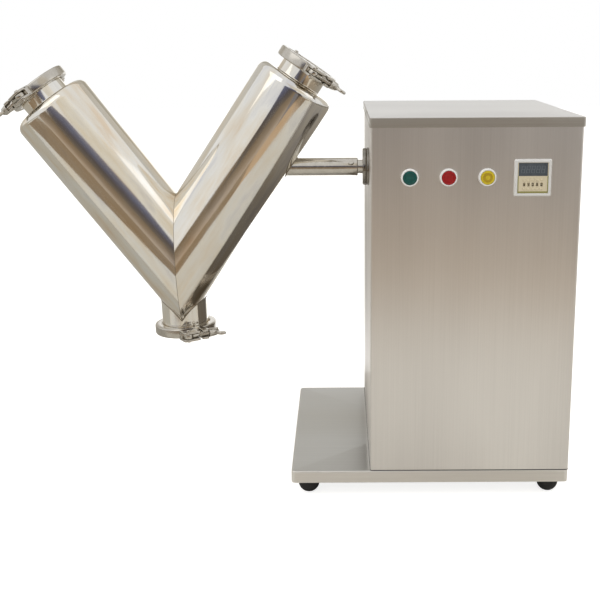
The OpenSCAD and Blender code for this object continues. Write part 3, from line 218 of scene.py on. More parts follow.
finishes = {
    "brushed_sheet": brushedSheet("brushed_304_sheet", sheetLook, "z"),
    "mirror_steel": mirrorSteel("buffed_304_tube", mirrorLook, drum["lean"]),
    "satin_steel": plainMetal("satin_cast_304", 12, "#bfbab1", "#cec9c0", (0.18, 0.26), 0.03),
    "turned_steel": plainMetal("turned_bright_bar", 9, "#c4bfb5", "#d3cec5", (0.12, 0.2), 0.04),
    "zinc_steel": plainMetal("zinc_plated_steel", 3, "#a7abb0", "#c3c7ca", (0.28, 0.42), 0.15),
    "painted_frame": mouldedPlastic("grey_hammer_enamel", 5, "#6b7276", "#7c8387", (0.35, 0.5), 0.35, 1.52),
    "cast_aluminium": plainMetal("cast_aluminium", 1.2, "#8f9194", "#a9abad", (0.45, 0.62), 0.5),
    "bronze": plainMetal("gear_bronze", 2, "#9a6d37", "#b58545", (0.28, 0.42), 0.15),
    "copper_winding": plainMetal("varnished_copper", 0.9, "#7a3b1d", "#b0622f", (0.3, 0.45), 0.6),
    "foot_rubber": mouldedPlastic("black_nitrile", 0.8, "#141414", "#201f1e", (0.5, 0.68), 0.35),
    "seal_rubber": mouldedPlastic("white_silicone", 1, "#d9d7d0", "#e6e4de", (0.45, 0.6), 0.2, 1.41),
    "white_bezel": mouldedPlastic("white_polycarbonate", 6, "#f3f2ef", "#fafaf8", (0.16, 0.24), 0.05, 1.58),
    "black_plastic": mouldedPlastic("black_abs", 0.7, "#17181a", "#222326", (0.4, 0.55), 0.3, 1.54),
    "grey_frame": mouldedPlastic("light_grey_abs", 0.8, "#e0dfdb", "#e9e8e5", (0.38, 0.5), 0.15, 1.54),
    "beige_face": mouldedPlastic("beige_abs", 0.8, "#dacbaa", "#e3d7ba", (0.4, 0.52), 0.15, 1.54),
    "dark_display": mouldedPlastic("smoked_acrylic", 8, "#50565b", "#5b6166", (0.1, 0.18), 0.03, 1.49),
    "green_cap": mouldedPlastic("green_lens", 4, "#0a4d48", "#115d56", (0.18, 0.28), 0.08, 1.58),
    "red_cap": mouldedPlastic("red_lens", 4, "#9a0b10", "#b01218", (0.18, 0.28), 0.08, 1.58),
    "yellow_cap": mouldedPlastic("yellow_lens", 4, "#ccb218", "#dcc52a", (0.18, 0.28), 0.08, 1.58),
}
# The tray's top and the lid's lip take the darker copies: painted shade
trayTopShadeSheet = brushedSheet("brushed_304_tray", trayTopShadeLook, "x")
rimSheet = brushedSheet("brushed_304_tray_rim", rimLook, "x")
lidSheet = brushedSheet("brushed_304_lid", lidLook, "x")
lipShadeSheet = brushedSheet("brushed_304_lid_lip", lipShadeLook, "x")
leftTube = mirrorSteel("buffed_304_left_leg", mirrorLook, drum["lean"] - drum["half"])
rightTube = mirrorSteel("buffed_304_right_leg", mirrorLook, drum["lean"] + drum["half"])
weldSteel = plainMetal("tinted_weld_bead", 1.5, "#7d7061", "#a39a8b", (0.25, 0.4), 0.2)
# The hub's discs take a darker steel tone than the other steel
hubSteel = plainMetal("darker_hub_steel", 9, "#8b877f", "#9f9a92", (0.16, 0.26), 0.05)
numberInk = mouldedPlastic("brown_printing_ink", 0.6, "#3a2c1d", "#463626", (0.5, 0.6), 0.1)
segmentGrey = mouldedPlastic("unlit_display_segments", 1, "#6b737a", "#777f86", (0.2, 0.3), 0.05)
# Olive for the strips round the timer's face: painted shade for the gap round it
gapShadeStrips = mouldedPlastic("olive_gap_shade", 0.8, "#8f8a4e", "#a39d5e", (0.4, 0.5), 0.15)
amberLens = mouldedPlastic("amber_lens", 4, "#b5951a", "#bf9f22", (0.18, 0.28), 0.08, 1.58)

# Every CAD node gets the finish that its own slot names
for obj in nodes.values():
    finish = finishes[obj.material_slots[0].material.name.split(".")[0]]
    for slot in obj.material_slots:
        slot.material = finish
print("finishes made,", len(finishes))


# A node's lowest and highest corners, in millimetres
def nodeBox(name):
    return [np.array(corner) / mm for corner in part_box(name)]


# Turns about Y, which carries Z towards X, and about Z
def turnY(degrees):
    a = math.radians(degrees)
    return np.array([[math.cos(a), 0, math.sin(a)], [0, 1, 0], [-math.sin(a), 0, math.cos(a)]])


def turnZ(degrees):
    a = math.radians(degrees)
    return np.array([[math.cos(a), -math.sin(a), 0], [math.sin(a), math.cos(a), 0], [0, 0, 1]])


# Puts points given in a local frame, in millimetres, into the CAD frame, in metres
def putAt(points, place):
    turn, origin = place
    return (np.asarray(points) @ turn.T + origin) * mm


# Quads of a grid of rows x cols points; a wrapped grid joins its last column to the first
def gridQuads(rows, cols, wrap):
    r, c = np.meshgrid(np.arange(rows - 1), np.arange(cols if wrap else cols - 1), indexing="ij")
    nextC = (c + 1) % cols
    return np.stack([r * cols + c, r * cols + nextC, (r + 1) * cols + nextC, (r + 1) * cols + c], -1).reshape(-1, 4)


# One mesh from several grids: each is (points rows x cols x 3 in metres, wrapped across, material index)
def surfacePiece(name, sheets, mats, body, replaced=(), sharp=35):
    points, quads, kinds, start = [], [], [], 0
    for grid, wrap, kind in sheets:
        rows, cols = grid.shape[:2]
        quads.append(gridQuads(rows, cols, wrap) + start)
        kinds.append(np.full(len(quads[-1]), kind))
        points.append(grid.reshape(-1, 3))
        start += rows * cols
    mesh = bpy.data.meshes.new(name)
    mesh.from_pydata(np.concatenate(points).tolist(), [], np.concatenate(quads).tolist())
    mesh.polygons.foreach_set("material_index", np.concatenate(kinds))
    work = bmesh.new()
    work.from_mesh(mesh)
    bmesh.ops.remove_doubles(work, verts=work.verts, dist=2e-6)
    bmesh.ops.recalc_face_normals(work, faces=work.faces)
    work.to_mesh(mesh)
    work.free()
    mesh.shade_smooth()
    mesh.set_sharp_from_angle(angle=math.radians(sharp))
    for mat in mats:
        mesh.materials.append(mat)
    obj = addObject(name, mesh)
    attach(obj, body)
    if replaced:
        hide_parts(*replaced)
    return obj


# Rounds the corners of an open profile: each corner gets an arc of its own radius, 0 keeps it sharp
def roundProfile(corners, radii, steps=6):
    corners = np.asarray(corners, float)
    out = [corners[:1]]
    for before, corner, after, radius in zip(corners[:-2], corners[1:-1], corners[2:], radii):
        if radius <= 0:
            out.append(corner[None])
            continue
        u, v = before - corner, after - corner
        lu, lv = np.linalg.norm(u), np.linalg.norm(v)
        u, v = u / lu, v / lv
        half = math.acos(np.clip(u @ v, -1, 1)) / 2
        back = min(radius / math.tan(half), 0.49 * lu, 0.49 * lv)
        r = back * math.tan(half)
        centre = corner + (u + v) / np.linalg.norm(u + v) * r / math.sin(half)
        a, b = corner + u * back - centre, corner + v * back - centre
        t = np.linspace(0, 1, steps)[:, None]
        angle = math.acos(np.clip(a @ b / r / r, -1, 1))
        arc = (np.sin((1 - t) * angle) * a + np.sin(t * angle) * b) / math.sin(angle)
        out.append(centre + arc)
    out.append(corners[-1:])
    return np.concatenate(out)


# Lathe: a profile of (radius, height) turned about the local Z axis
def latheGrid(profile, place, steps=96):
    t = np.linspace(0, 2 * np.pi, steps, endpoint=False)
    r, z = profile[:, :1], profile[:, 1:]
    grid = np.stack([r * np.cos(t), r * np.sin(t), z + 0 * t], -1)
    return putAt(grid, place)


shaftLow, shaftHigh = nodeBox("drive_shaft")
cabinetLow, cabinetHigh = nodeBox("cabinet_shell")
shaftAxis = (shaftLow + shaftHigh) / 2
drumCentre = np.array([cabinetLow[0] - drum["reach"], shaftAxis[1], shaftAxis[2] - drum["drop"]])
drumFrame = (turnY(drum["lean"]), drumCentre)


# Angles round a leg: close together where the outlet's neck cuts it, even elsewhere
def legAngles(legR, neckR):
    cut = np.arcsin(neckR * np.sin(np.linspace(-np.pi / 2, np.pi / 2, 97)) / legR)
    edge = math.asin(neckR / legR)
    rest = np.linspace(edge, 2 * np.pi - edge, 161)[1:-1]
    return np.concatenate([cut, rest])


# A leg's wall: straight lines along the leg from the mitre (x = 0) or the neck's cut (x^2 + y^2 = neck^2)
# to the shoulder, then the profile (radius, height) turned about the leg's axis
def legGrid(side, legR, neckR, top, angles):
    half = math.radians(drum["half"])
    cosP, sinP = np.cos(angles), np.sin(angles)
    inside = np.maximum(neckR ** 2 - (legR * sinP) ** 2, 0)
    x0 = np.where(cosP > 0, np.sqrt(inside), 0)
    first = (x0 - legR * cosP * math.cos(half)) / math.sin(half)
    share = np.array([0, 0.003, 0.25, 0.5, 0.75, 0.99, 1.0])[:, None]
    s = first + (top[0, 1] - first) * share
    r = np.full_like(s, legR)
    s = np.concatenate([s, np.repeat(top[1:, 1:], len(angles), 1)])
    r = np.concatenate([r, np.repeat(top[1:, :1], len(angles), 1)])
    x = s * math.sin(half) + r * cosP * math.cos(half)
    z = s * math.cos(half) - r * cosP * math.sin(half)
    return putAt(np.stack([side * x, r * sinP, z], -1), drumFrame)


# Down the outlet's neck from its cut with a leg to the rim
def outletGrid(side, legR, neckR, bottom, turns):
    half = math.radians(drum["half"])
    sinP = neckR * np.sin(turns) / legR
    cosP = np.sqrt(1 - sinP ** 2)
    x = neckR * np.cos(turns)
    s = (x - legR * cosP * math.cos(half)) / math.sin(half)
    z0 = s * math.cos(half) - legR * cosP * math.sin(half)
    share = np.linspace(0, 1, 6)[:, None]
    z = z0 + (bottom[0, 1] - z0) * share
    r = np.full_like(z, neckR)
    z = np.concatenate([z, np.repeat(bottom[1:, 1:], len(turns), 1)])
    r = np.concatenate([r, np.repeat(bottom[1:, :1], len(turns), 1)])
    return putAt(np.stack([side * r * np.cos(turns), r * np.sin(turns), z], -1), drumFrame)


# Each leg is a skin outside and one inside that meet at its neck's face; the outlet's neck is in two halves
def buildDrum(d):
    outer, neck, bore = d["radius"], d["neck"], d["neck"] - d["neckWall"]
    inner = outer - d["wall"]
    slope = (d["rim"] - neck) * math.tan(math.radians(d["rimSlope"]))
    angles, innerAngles = legAngles(outer, neck), legAngles(inner, bore)
    sheets = []
    for side, length in ((-1, d["left"]), (1, d["right"])):
        face = length + d["neckLen"] - d["gasket"] / 2
        outside = roundProfile(
            [(outer, length - 2.2 * d["shoulder"]), (outer, length), (neck, length),
             (neck, face - d["rimT"] - slope), (d["rim"], face - d["rimT"]), (d["rim"], face), (bore, face)],
            [d["shoulder"], d["neckFoot"], *d["rimRounds"]], 12)
        inside = roundProfile(
            [(inner, length - 2.2 * d["shoulder"]), (inner, length - d["wall"]), (bore, length - d["wall"]),
             (bore, face)], [d["shoulder"] - d["wall"], 2], 8)
        sheets.append((legGrid(side, outer, neck, outside, angles), True, 1 if side < 0 else 2))
        sheets.append((legGrid(side, inner, bore, inside, innerAngles), True, 0))
        base = d["gasket"] / 2 - d["outlet"]
        rimDown = roundProfile([(neck, base + d["rimT"] + slope + 2), (neck, base + d["rimT"] + slope),
                                (d["rim"], base + d["rimT"]), (d["rim"], base), (bore, base)], d["rimRounds"])
        turns = np.linspace(-np.pi / 2, np.pi / 2, 97)
        sheets.append((outletGrid(side, outer, neck, rimDown, turns), False, 0))
        sheets.append((outletGrid(side, inner, bore, np.array([(bore, base + 4), (bore, base)]), turns), False, 0))
    mats = [finishes["mirror_steel"], leftTube, rightTube]
    return surfacePiece("drum", sheets, mats, "drum", ["drum_shell"], 30)


# A weld bead: a thin tube along a curve, in millimetres, whose radius swells once per ripple
def beadGrid(curve, outward, radius, ripple):
    ahead = np.gradient(curve, axis=0)
    ahead /= np.linalg.norm(ahead, axis=1, keepdims=True)
    side = np.cross(ahead, outward)
    side /= np.linalg.norm(side, axis=1, keepdims=True)
    up = np.cross(side, ahead)
    along = np.concatenate([[0], np.cumsum(np.linalg.norm(np.diff(curve, axis=0), axis=1))])
    r = (radius * (1 + 0.14 * np.cos(2 * np.pi * along / ripple)))[:, None, None]
    t = np.linspace(0, 2 * np.pi, 10, endpoint=False)[None, :, None]
    return (curve[:, None] + r * (np.cos(t) * side[:, None] + np.sin(t) * up[:, None])) * mm


# Beads: round each charging neck's foot, where the outlet's neck cuts the legs, and at the sleeve; the mitre's
# seam is ground flush and shows as a thin line
def buildWelds(d, w):
    turn, origin = drumFrame
    sheets = []
    t = np.linspace(0, 2 * np.pi, 900)
    for side, length in ((-1, d["left"]), (1, d["right"])):
        legTurn = turn @ turnY(side * d["half"])
        rim = np.stack([np.cos(t), np.sin(t), 0 * t], -1)
        foot = rim * (d["neck"] + w["in"]) + np.array([0, 0, length + w["in"]])
        sheets.append((beadGrid(foot @ legTurn.T + origin, rim @ legTurn.T, w["neck"], w["ripple"]), True, 0))
        edge = outletGrid(side, d["radius"], d["neck"], np.array([(d["neck"], -d["outlet"])]),
                          np.linspace(-np.pi / 2, np.pi / 2, 420))[0] / mm
        sheets.append((beadGrid(edge, edge - origin + np.array([0, 0, 60]), w["neck"], w["ripple"]), True, 0))
    cut = math.asin(d["neck"] / d["radius"]) + 0.01
    angles = np.linspace(cut, 2 * np.pi - cut, 700)
    seam = np.stack([0 * angles, d["radius"] * np.sin(angles),
                     -d["radius"] * np.cos(angles) / math.sin(math.radians(d["half"]))], -1)
    sheets.append((beadGrid(seam @ turn.T + origin, seam @ turn.T, w["seam"], w["ripple"]), True, 0))
    # The sleeve's cope: |p|^2 - (p . leg)^2 = radius^2 solved for x on the sleeve's surface
    leg = turn @ turnY(d["half"]) @ np.array([0, 0, 1.0])
    y, z = sleeve["outer"] * np.cos(t), sleeve["outer"] * np.sin(t) + shaftAxis[2] - origin[2]
    a, b = 1 - leg[0] ** 2, -leg[0] * (y * leg[1] + z * leg[2])
    c = y ** 2 + z ** 2 - (y * leg[1] + z * leg[2]) ** 2 - d["radius"] ** 2
    x = (-b + np.sqrt(b ** 2 - a * c)) / a
    cope = np.stack([x, y, z], -1) + origin
    around = np.stack([0 * t, np.cos(t), np.sin(t)], -1)
    sheets.append((beadGrid(cope, around, w["cope"], w["ripple"]), True, 0))
    return surfacePiece("weldBeads", sheets, [weldSteel], "drum", (), 60)


buildDrum(drum)
buildWelds(drum, {"neck": 0.8, "in": 0.2, "seam": 0.35, "cope": 1.1, "ripple": 1.7})
print("drum built")


# A closed loop of (radius, height) or (x, y) corners, each rounded by its own radius
def roundLoop(corners, radii, steps=5):
    corners = np.asarray(corners, float)
    middle = (corners[0] + corners[-1]) / 2
    return roundProfile(np.concatenate([[middle], corners, [middle]]), radii, steps)[:-1]


# Lathe of a closed loop
def ringGrid(loop, place, steps=64):
    return latheGrid(np.concatenate([loop, loop[:1]]), place, steps)


# Rectangles with round corners stacked up a profile of (inset, height); an inset beyond the half size is the middle
def rectGrid(place, halfX, halfY, corner, profile, steps=6):
    profile = np.asarray(profile, float)
    angles = (np.arange(4)[:, None] * np.pi / 2 + np.linspace(0, np.pi / 2, steps)).ravel()
    signX, signY = np.repeat([1, -1, -1, 1], steps), np.repeat([1, 1, -1, -1], steps)
    inset, height = profile[:, :1], profile[:, 1:]
    hx, hy = np.maximum(halfX - inset, 0), np.maximum(halfY - inset, 0)
    c = np.minimum(np.maximum(corner - inset, 0), np.minimum(hx, hy))
    x = signX * (hx - c) + c * np.cos(angles)
    y = signY * (hy - c) + c * np.sin(angles)
    return putAt(np.stack([x, y, height + 0 * x], -1), place)


# A box with round edges: the eighths of a ball pushed apart to its corners, closed at both ends
def boxGrid(place, low, high, edge, steps=3):
    low, high = np.asarray(low, float), np.asarray(high, float)
    centre, h = (low + high) / 2, (high - low) / 2 - edge
    lat = np.concatenate([np.linspace(-np.pi / 2, 0, steps), np.linspace(0, np.pi / 2, steps)])[:, None]
    lon = (np.arange(4)[:, None] * np.pi / 2 + np.linspace(0, np.pi / 2, steps)).ravel()
    signX, signY = np.repeat([1, -1, -1, 1], steps), np.repeat([1, 1, -1, -1], steps)
    signZ = np.repeat([-1, 1], steps)[:, None]
    x = signX * h[0] + edge * np.cos(lat) * np.cos(lon)
    y = signY * h[1] + edge * np.cos(lat) * np.sin(lon)
    z = signZ * h[2] + edge * np.sin(lat) + 0 * lon
    grid = np.stack([x, y, z], -1)
    end = np.zeros((1, len(lon), 3))
    tip = np.array([0, 0, h[2] + edge])
    return putAt(np.concatenate([end - tip, grid, end + tip]) + centre, place)


# A plate across Z from bottom to top with round edges; its outline runs anticlockwise round middle
def plateGrid(place, outline, middle, bottom, top, edge, steps=4):
    ahead = np.roll(outline, -1, 0) - np.roll(outline, 1, 0)
    outward = np.stack([ahead[:, 1], -ahead[:, 0]], -1)
    outward /= np.linalg.norm(outward, axis=1, keepdims=True)
    turn = np.linspace(0, np.pi / 2, steps)
    inset = edge * (1 - np.concatenate([np.sin(turn), np.cos(turn)]))[:, None, None]
    height = np.concatenate([bottom + edge * (1 - np.cos(turn)), top - edge * (1 - np.sin(turn))])
    flat = outline - outward * inset
    rows = np.concatenate([flat, np.repeat(height[:, None, None], len(outline), 1)], -1)
    ends = [np.tile([middle[0], middle[1], h], (1, len(outline), 1)) for h in (bottom, top)]
    return putAt(np.concatenate([ends[0], rows, ends[1]]), place)


# Closures, in the clamp's own frame: the neck's axis is Z and the bolt lies in front, pointing along +X
clamp = {"turn": 30, "outer": 51.0, "lip": 40.45, "thick": 16.0, "split": 4.0, "rim": 45.5, "groove": 1.5,
         "round": 2.6, "edge": 0.9, "bolt": 62.0, "pivot": -20.0, "fork": 10.0, "top": 69.5, "cheek": 4.3,
         "forkFloor": 54.2, "slotFloor": 57.7, "lugTop": 13.1, "lugOut": 14.0, "lugFoot": 10.5,
         "hinge": 55.5, "knuckle": 5.5, "knuckleW": 8.0, "pin": 3.0, "pinLen": 21.0,
         "seat": 34.3, "boltR": 3.85, "boltLen": 53.3, "plain": 18.0, "eye": 7.5, "eyeW": 8.0, "pitch": 1.25,
         "thread": 0.55, "nutR": 7.5, "nutLen": 14.0, "wing": 5.0, "span": 19.0, "wingOut": 10.0,
         "capTop": 7.35, "dish": 6.6, "capRim": 4.0, "dishSlope": 2.0, "play": 0.05, "ringPlay": 0.1,
         "forkMiddle": (-16, -60), "lugMiddle": (7, -60), "wingMiddle": 13.5, "lugBack": 10.6, "floorIn": 2.0,
         "floorEdge": 0.8, "wingEdge": 2.0, "tipR": 2.9, "tipEnd": 2.4, "neckIn": 0.6, "nutTaper": 1.1,
         "grooveRounds": [0, 0.4, 0.5, 0.8], "forkRounds": [5.5, 2.0, 0.5, 3.0],
         "lugRounds": [2.0, 3.0, 2.0, 0.5, 0.5], "pinRounds": [1.2, 1.2], "capRounds": [0.4, 0.5, 0.5, 1.1, 0.8, 2.0],
         "eyeRounds": [0.4, 2.2, 2.2, 0.4], "bossRounds": [0.5, 0.9, 1.6, 0.6], "wingRounds": [1, 1, 2.5, 2.2, 2.2, 6]}
ports = {"left": (-drum["half"], drum["left"] + drum["neckLen"], 180),
         "right": (drum["half"], drum["right"] + drum["neckLen"], 0), "outlet": (180, drum["outlet"], 180)}


# The frame of a port, and of its clamp, which is turned over on the left leg and under the drum
def portPlace(port):
    tilt, reach, flip = ports[port]
    turn = drumFrame[0] @ turnY(tilt)
    return turn, drumCentre + turn @ np.array([0, 0, reach]), turn @ turnY(flip) @ turnZ(clamp["turn"])


# The same frame moved to a point of its own
def moved(place, x, y, z=0.0, turn=None):
    return (place[0] if turn is None else place[0] @ turn), place[1] + place[0] @ np.array([x, y, z])


# Half a ring: the loop (r, z) swept round Z between the planes x = +-split / 2, closed at both ends
def halfRing(place, loop, side, split, steps=80):
    r, z = loop[:, 0], loop[:, 1]
    first = np.arcsin(split / 2 / r)
    angle = first + (np.pi - 2 * first) * np.linspace(0, 1, steps)[:, None]
    grid = np.stack([side * r * np.sin(angle), -r * np.cos(angle), z + 0 * angle], -1)
    ends = [np.repeat(row.mean(0)[None, None], len(loop), 1) for row in (grid[0], grid[-1])]
    return putAt(np.concatenate([ends[0], grid, ends[1]]), place)


# Two half rings of a grooved loop, with flat cheeks for the bolt on one side and a hinge on the other
def buildClamp(port, c):
    turn, origin, clampTurn = portPlace(port)
    place = (clampTurn, origin)
    h = c["thick"] / 2
    inner = c["rim"] + c["groove"]
    slope = (c["rim"] - c["lip"]) * math.tan(math.radians(drum["rimSlope"]))
    g = drum["gasket"] / 2 + drum["rimT"] + c["ringPlay"]
    loop = roundLoop([(inner, g), (c["rim"], g), (c["lip"], g + slope), (c["lip"], h), (c["outer"], h),
                      (c["outer"], -h), (c["lip"], -h), (c["lip"], -g - slope), (c["rim"], -g), (inner, -g)],
                     [*c["grooveRounds"], c["round"], c["round"], *c["grooveRounds"][::-1]])
    sheets = [(halfRing(place, loop, -1, c["split"]), True, 0), (halfRing(place, loop, 1, c["split"]), True, 0)]
    back, front, base = c["pivot"] - c["fork"], -c["split"] / 2, -inner
    fork = roundLoop([(back, -c["top"]), (front, -c["top"]), (front, base), (back, base)], c["forkRounds"])
    lug = roundLoop([(-front, -c["top"]), (c["lugTop"], -c["top"]), (c["lugOut"], -c["bolt"]), (c["lugFoot"], base),
                     (-front, base)], c["lugRounds"])
    for bottom, top in ((-h, -c["cheek"]), (c["cheek"], h)):
        sheets.append((plateGrid(place, fork, c["forkMiddle"], bottom, top, c["edge"]), True, 0))
        sheets.append((plateGrid(place, lug, c["lugMiddle"], bottom, top, c["edge"]), True, 0))
    for start, floor, end in ((back, c["forkFloor"], front), (-front, c["slotFloor"], c["lugBack"])):
        sheets.append((boxGrid(place, (start, -floor, -h), (end, base + c["floorIn"], h), c["floorEdge"]), True, 0))
    w = c["knuckleW"] / 2
    for bottom, top in ((-w, w), (w + c["play"], h), (-h, -w - c["play"])):
        loop = roundProfile([(0, bottom), (c["knuckle"], bottom), (c["knuckle"], top), (0, top)], [c["edge"]] * 2)
        sheets.append((latheGrid(loop, moved(place, 0, c["hinge"]), 32), True, 0))
    surfacePiece(port + "ClampHalves", sheets, [finishes["satin_steel"]], "drum", [port + "_clamp"], 40)

    e = c["pinLen"] / 2
    pin = roundProfile([(0, -e), (c["pin"], -e), (c["pin"], e), (0, e)], c["pinRounds"])
    pins = [(latheGrid(pin, moved(place, c["pivot"], -c["bolt"]), 32), True, 0),
            (latheGrid(pin, moved(place, 0, c["hinge"]), 32), True, 0)]

    # Cap: a flat disc with a sloped rim for the clamp and a shallow dish
    g, rimT, neck = drum["gasket"] / 2, drum["rimT"], drum["neck"]
    slope = (drum["rim"] - neck) * math.tan(math.radians(drum["rimSlope"]))
    cap = roundProfile([(0, g), (drum["rim"], g), (drum["rim"], g + rimT), (neck, g + rimT + slope),
                        (neck, c["capTop"]), (neck - c["capRim"], c["capTop"]),
                        (neck - c["capRim"] - c["dishSlope"], c["dish"]), (0, c["dish"])], c["capRounds"])
    surfacePiece(port + "CapDisc", [(latheGrid(cap, (turn, origin)), True, 0)], [finishes["satin_steel"]], "drum",
                 [port + "_cap"], 30)

    # Eye bolt: r = boltR - thread * |2 frac(z / pitch - turn / 2 pi) - 1| along the thread
    pivot = moved(place, c["pivot"], -c["bolt"])
    along = moved(place, c["pivot"], -c["bolt"], 0, turnY(90))
    bore, ew = c["pin"] + c["play"], c["eyeW"] / 2
    eye = roundLoop([(bore, -ew), (c["eye"], -ew), (c["eye"], ew), (bore, ew)], c["eyeRounds"])
    t = np.linspace(0, 2 * np.pi, 28, endpoint=False)
    z = np.arange(c["plain"] + 0.2, c["boltLen"] - 1, c["pitch"] / 8)[:, None]
    r = c["boltR"] - c["thread"] * np.abs(2 * np.mod(z / c["pitch"] - t / (2 * np.pi), 1) - 1)
    plain = np.array([(0, 5.0), (c["boltR"], 6.0), (c["boltR"], c["plain"] - 1),
                      (c["boltR"] - c["neckIn"], c["plain"])])
    tip = np.array([(c["tipR"], c["boltLen"] - 0.5), (c["tipEnd"], c["boltLen"]), (0, c["boltLen"])])
    r = np.concatenate([plain[:, :1] + 0 * t, r, tip[:, :1] + 0 * t])
    z = np.concatenate([plain[:, 1:], z, tip[:, 1:]])
    bolt = putAt(np.stack([r * np.cos(t), r * np.sin(t), z + 0 * r], -1), along)
    surfacePiece(port + "EyeBolt", [(ringGrid(eye, pivot, 40), True, 0), (bolt, True, 0)], [finishes["turned_steel"]],
                 port + "_bolt", [port + "_eye_bolt"], 40)

    # Wing nut: a tapered boss with two wings in the ring's plane that flare away from it
    nut = moved(place, c["pivot"] + c["seat"], -c["bolt"])
    nutAxis = moved(place, c["pivot"] + c["seat"], -c["bolt"], 0, turnY(90))
    bore, end = c["boltR"] + c["play"], c["nutLen"]
    boss = roundLoop([(bore, 0), (c["nutR"], 0), (c["nutR"] - c["nutTaper"], end), (bore, end)], c["bossRounds"])
    far, tipX, s = c["nutLen"] + c["wingOut"], c["nutLen"], c["span"]
    m, thick = c["wingMiddle"], c["wing"] / 2
    wings = []
    for side in (1, -1):
        wing = np.array([(c["wing"], 0), (tipX, 0), (tipX, c["nutR"] / 2), (far, s - c["wing"]), (far, s), (tipX, s)])
        wing = roundLoop(wing * (1, side), c["wingRounds"], 6)[::side]
        wings.append((plateGrid(nut, wing, (m, m * side), -thick, thick, c["wingEdge"], 6), True, 0))
    surfacePiece(port + "WingNut", [(ringGrid(boss, nutAxis, 48), True, 0)] + wings, [finishes["satin_steel"]],
                 port + "_nut", [port + "_wing_nut"], 40)
    return pins


pinSheets = [sheet for port in ports for sheet in buildClamp(port, clamp)]
surfacePiece("hingePins", pinSheets, [finishes["turned_steel"]], "drum", ["clamp_pins"], 40)
print("closures built")

# Controls: rings and caps face the front, so their local Z points into the cabinet
inward = np.array([[1.0, 0, 0], [0, 0, 1], [0, -1, 0]])
outward = np.array([[1.0, 0, 0], [0, 0, -1], [0, 1, 0]])
button = {"ring": 13.8, "rise": 6.0, "bore": 11.0, "step": 0.5, "barrel": 11.0, "barrelIn": 9.8,
          "barrelLen": 18.0, "cap": 10.7, "proud": 0.5, "head": 1.8, "plunger": 9.5, "body": 12.0,
          "stem": 4.0, "end": 23.0, "lens": 6.6, "spot": 3.4, "middleDip": 0.5, "spotDip": 0.45, "lensDip": 0.35,
          "groove": 0.5, "grooveDip": 0.7, "rimDip": 0.35}
panelY = cabinetLow[1]


# Profiles of (radius, depth into the panel): a ring with its threaded barrel, and a cap dished round its lens
def buildButtons(b):
    ring = roundLoop([(b["bore"], -b["rise"]), (b["ring"] - 1.0, -b["rise"]), (b["ring"], -0.6), (b["ring"], 0),
                      (b["barrel"], 0), (b["barrel"], b["barrelLen"]), (b["barrelIn"], b["barrelLen"]),
                      (b["barrelIn"], -b["step"]), (b["bore"], -b["step"])],
                     [0.7, 1.9, 0.4, 0, 0, 0, 0, 0, 0])
    front = -b["rise"] - b["proud"]
    groove = (b["lens"] + b["groove"], front + b["grooveDip"])
    middle = np.array([(0, front + b["middleDip"]), (b["spot"], front + b["spotDip"])])
    dish = roundProfile([middle[1], (b["lens"], front + b["lensDip"]), groove], [0])
    cap = roundProfile([groove, (b["lens"] + 2 * b["groove"], front), (b["cap"], front + b["rimDip"]),
                        (b["cap"], front + b["head"]), (b["plunger"], front + b["head"]), (b["plunger"], b["body"]),
                        (b["stem"], b["body"]), (b["stem"], b["end"]), (0, b["end"])], [0.3, 0.9, 0.2, 0, 0, 0, 0])
    rings = []
    for name in ("green", "red", "yellow"):
        low, high = nodeBox(name + "_button")
        place = (inward, np.array([(low[0] + high[0]) / 2, panelY, (low[2] + high[2]) / 2]))
        rings.append((ringGrid(ring, place, 72), True, 0))
        lens = finishes[name + "_cap"]
        centre = amberLens if name == "yellow" else lens
        sheets = [(latheGrid(profile, place, 64), True, kind) for profile, kind in ((middle, 0), (dish, 1), (cap, 0))]
        surfacePiece(name + "Cap", sheets, [lens, centre], name + "_button", [name + "_button"], 35)
    surfacePiece("buttonRings", rings, [finishes["white_bezel"]], "stand", ["button_bezels"], 35)


# Timer: heights are out of the panel, places are from the timer's middle. What stands up is given as how deep it
# is sunk, how far it stands out and the round of its edges.
timer = {"half": 28.5, "rise": 5.0, "open": 23.45, "face": 4.0, "windowX": 22.25, "windowZ": (3.0, 23.0),
         "windowT": 1.2, "pitch": 6.6, "drop": 10.0, "wheelR": 8.25, "wheelW": 5.0, "axleIn": 6.5, "bore": 1.55,
         "shown": (6, 4, 0, 8, 8), "number": (1.35, 2.15, 0.62), "bigNumber": (2.7, 5.4, 0.75), "bigPitch": 7.6,
         "slant": 0.12, "key": (2.3, 1.5), "keyRows": (-3.1, -16.9), "brim": 23.2, "brimFoot": 2.7, "brimSide": 1.3,
         "segment": (0.1, 0.06, 0.05), "keyTop": (0.5, 0.7, 0.45), "brimTop": (0.6, 0.25, 0.2),
         "ink": (0.25, 0.12, 0.05)}
glyphs = ("abcdef", "bc", "abged", "abgcd", "fgbc", "afgcd", "afgedc", "abc", "abcdefg", "abcdfg")


# Seven-segment strokes of a number in a cell of half width w and half height h: (x low, z low, x high, z high)
def strokes(w, h, line):
    e = line / 2
    return {"a": (-w, h - line, w, h), "d": (-w, -h, w, -h + line), "g": (-w, -e, w, e),
            "b": (w - line, 0, w, h), "c": (w - line, -h, w, 0),
            "f": (-w, 0, -w + line, h), "e": (-w, -h, -w + line, 0)}


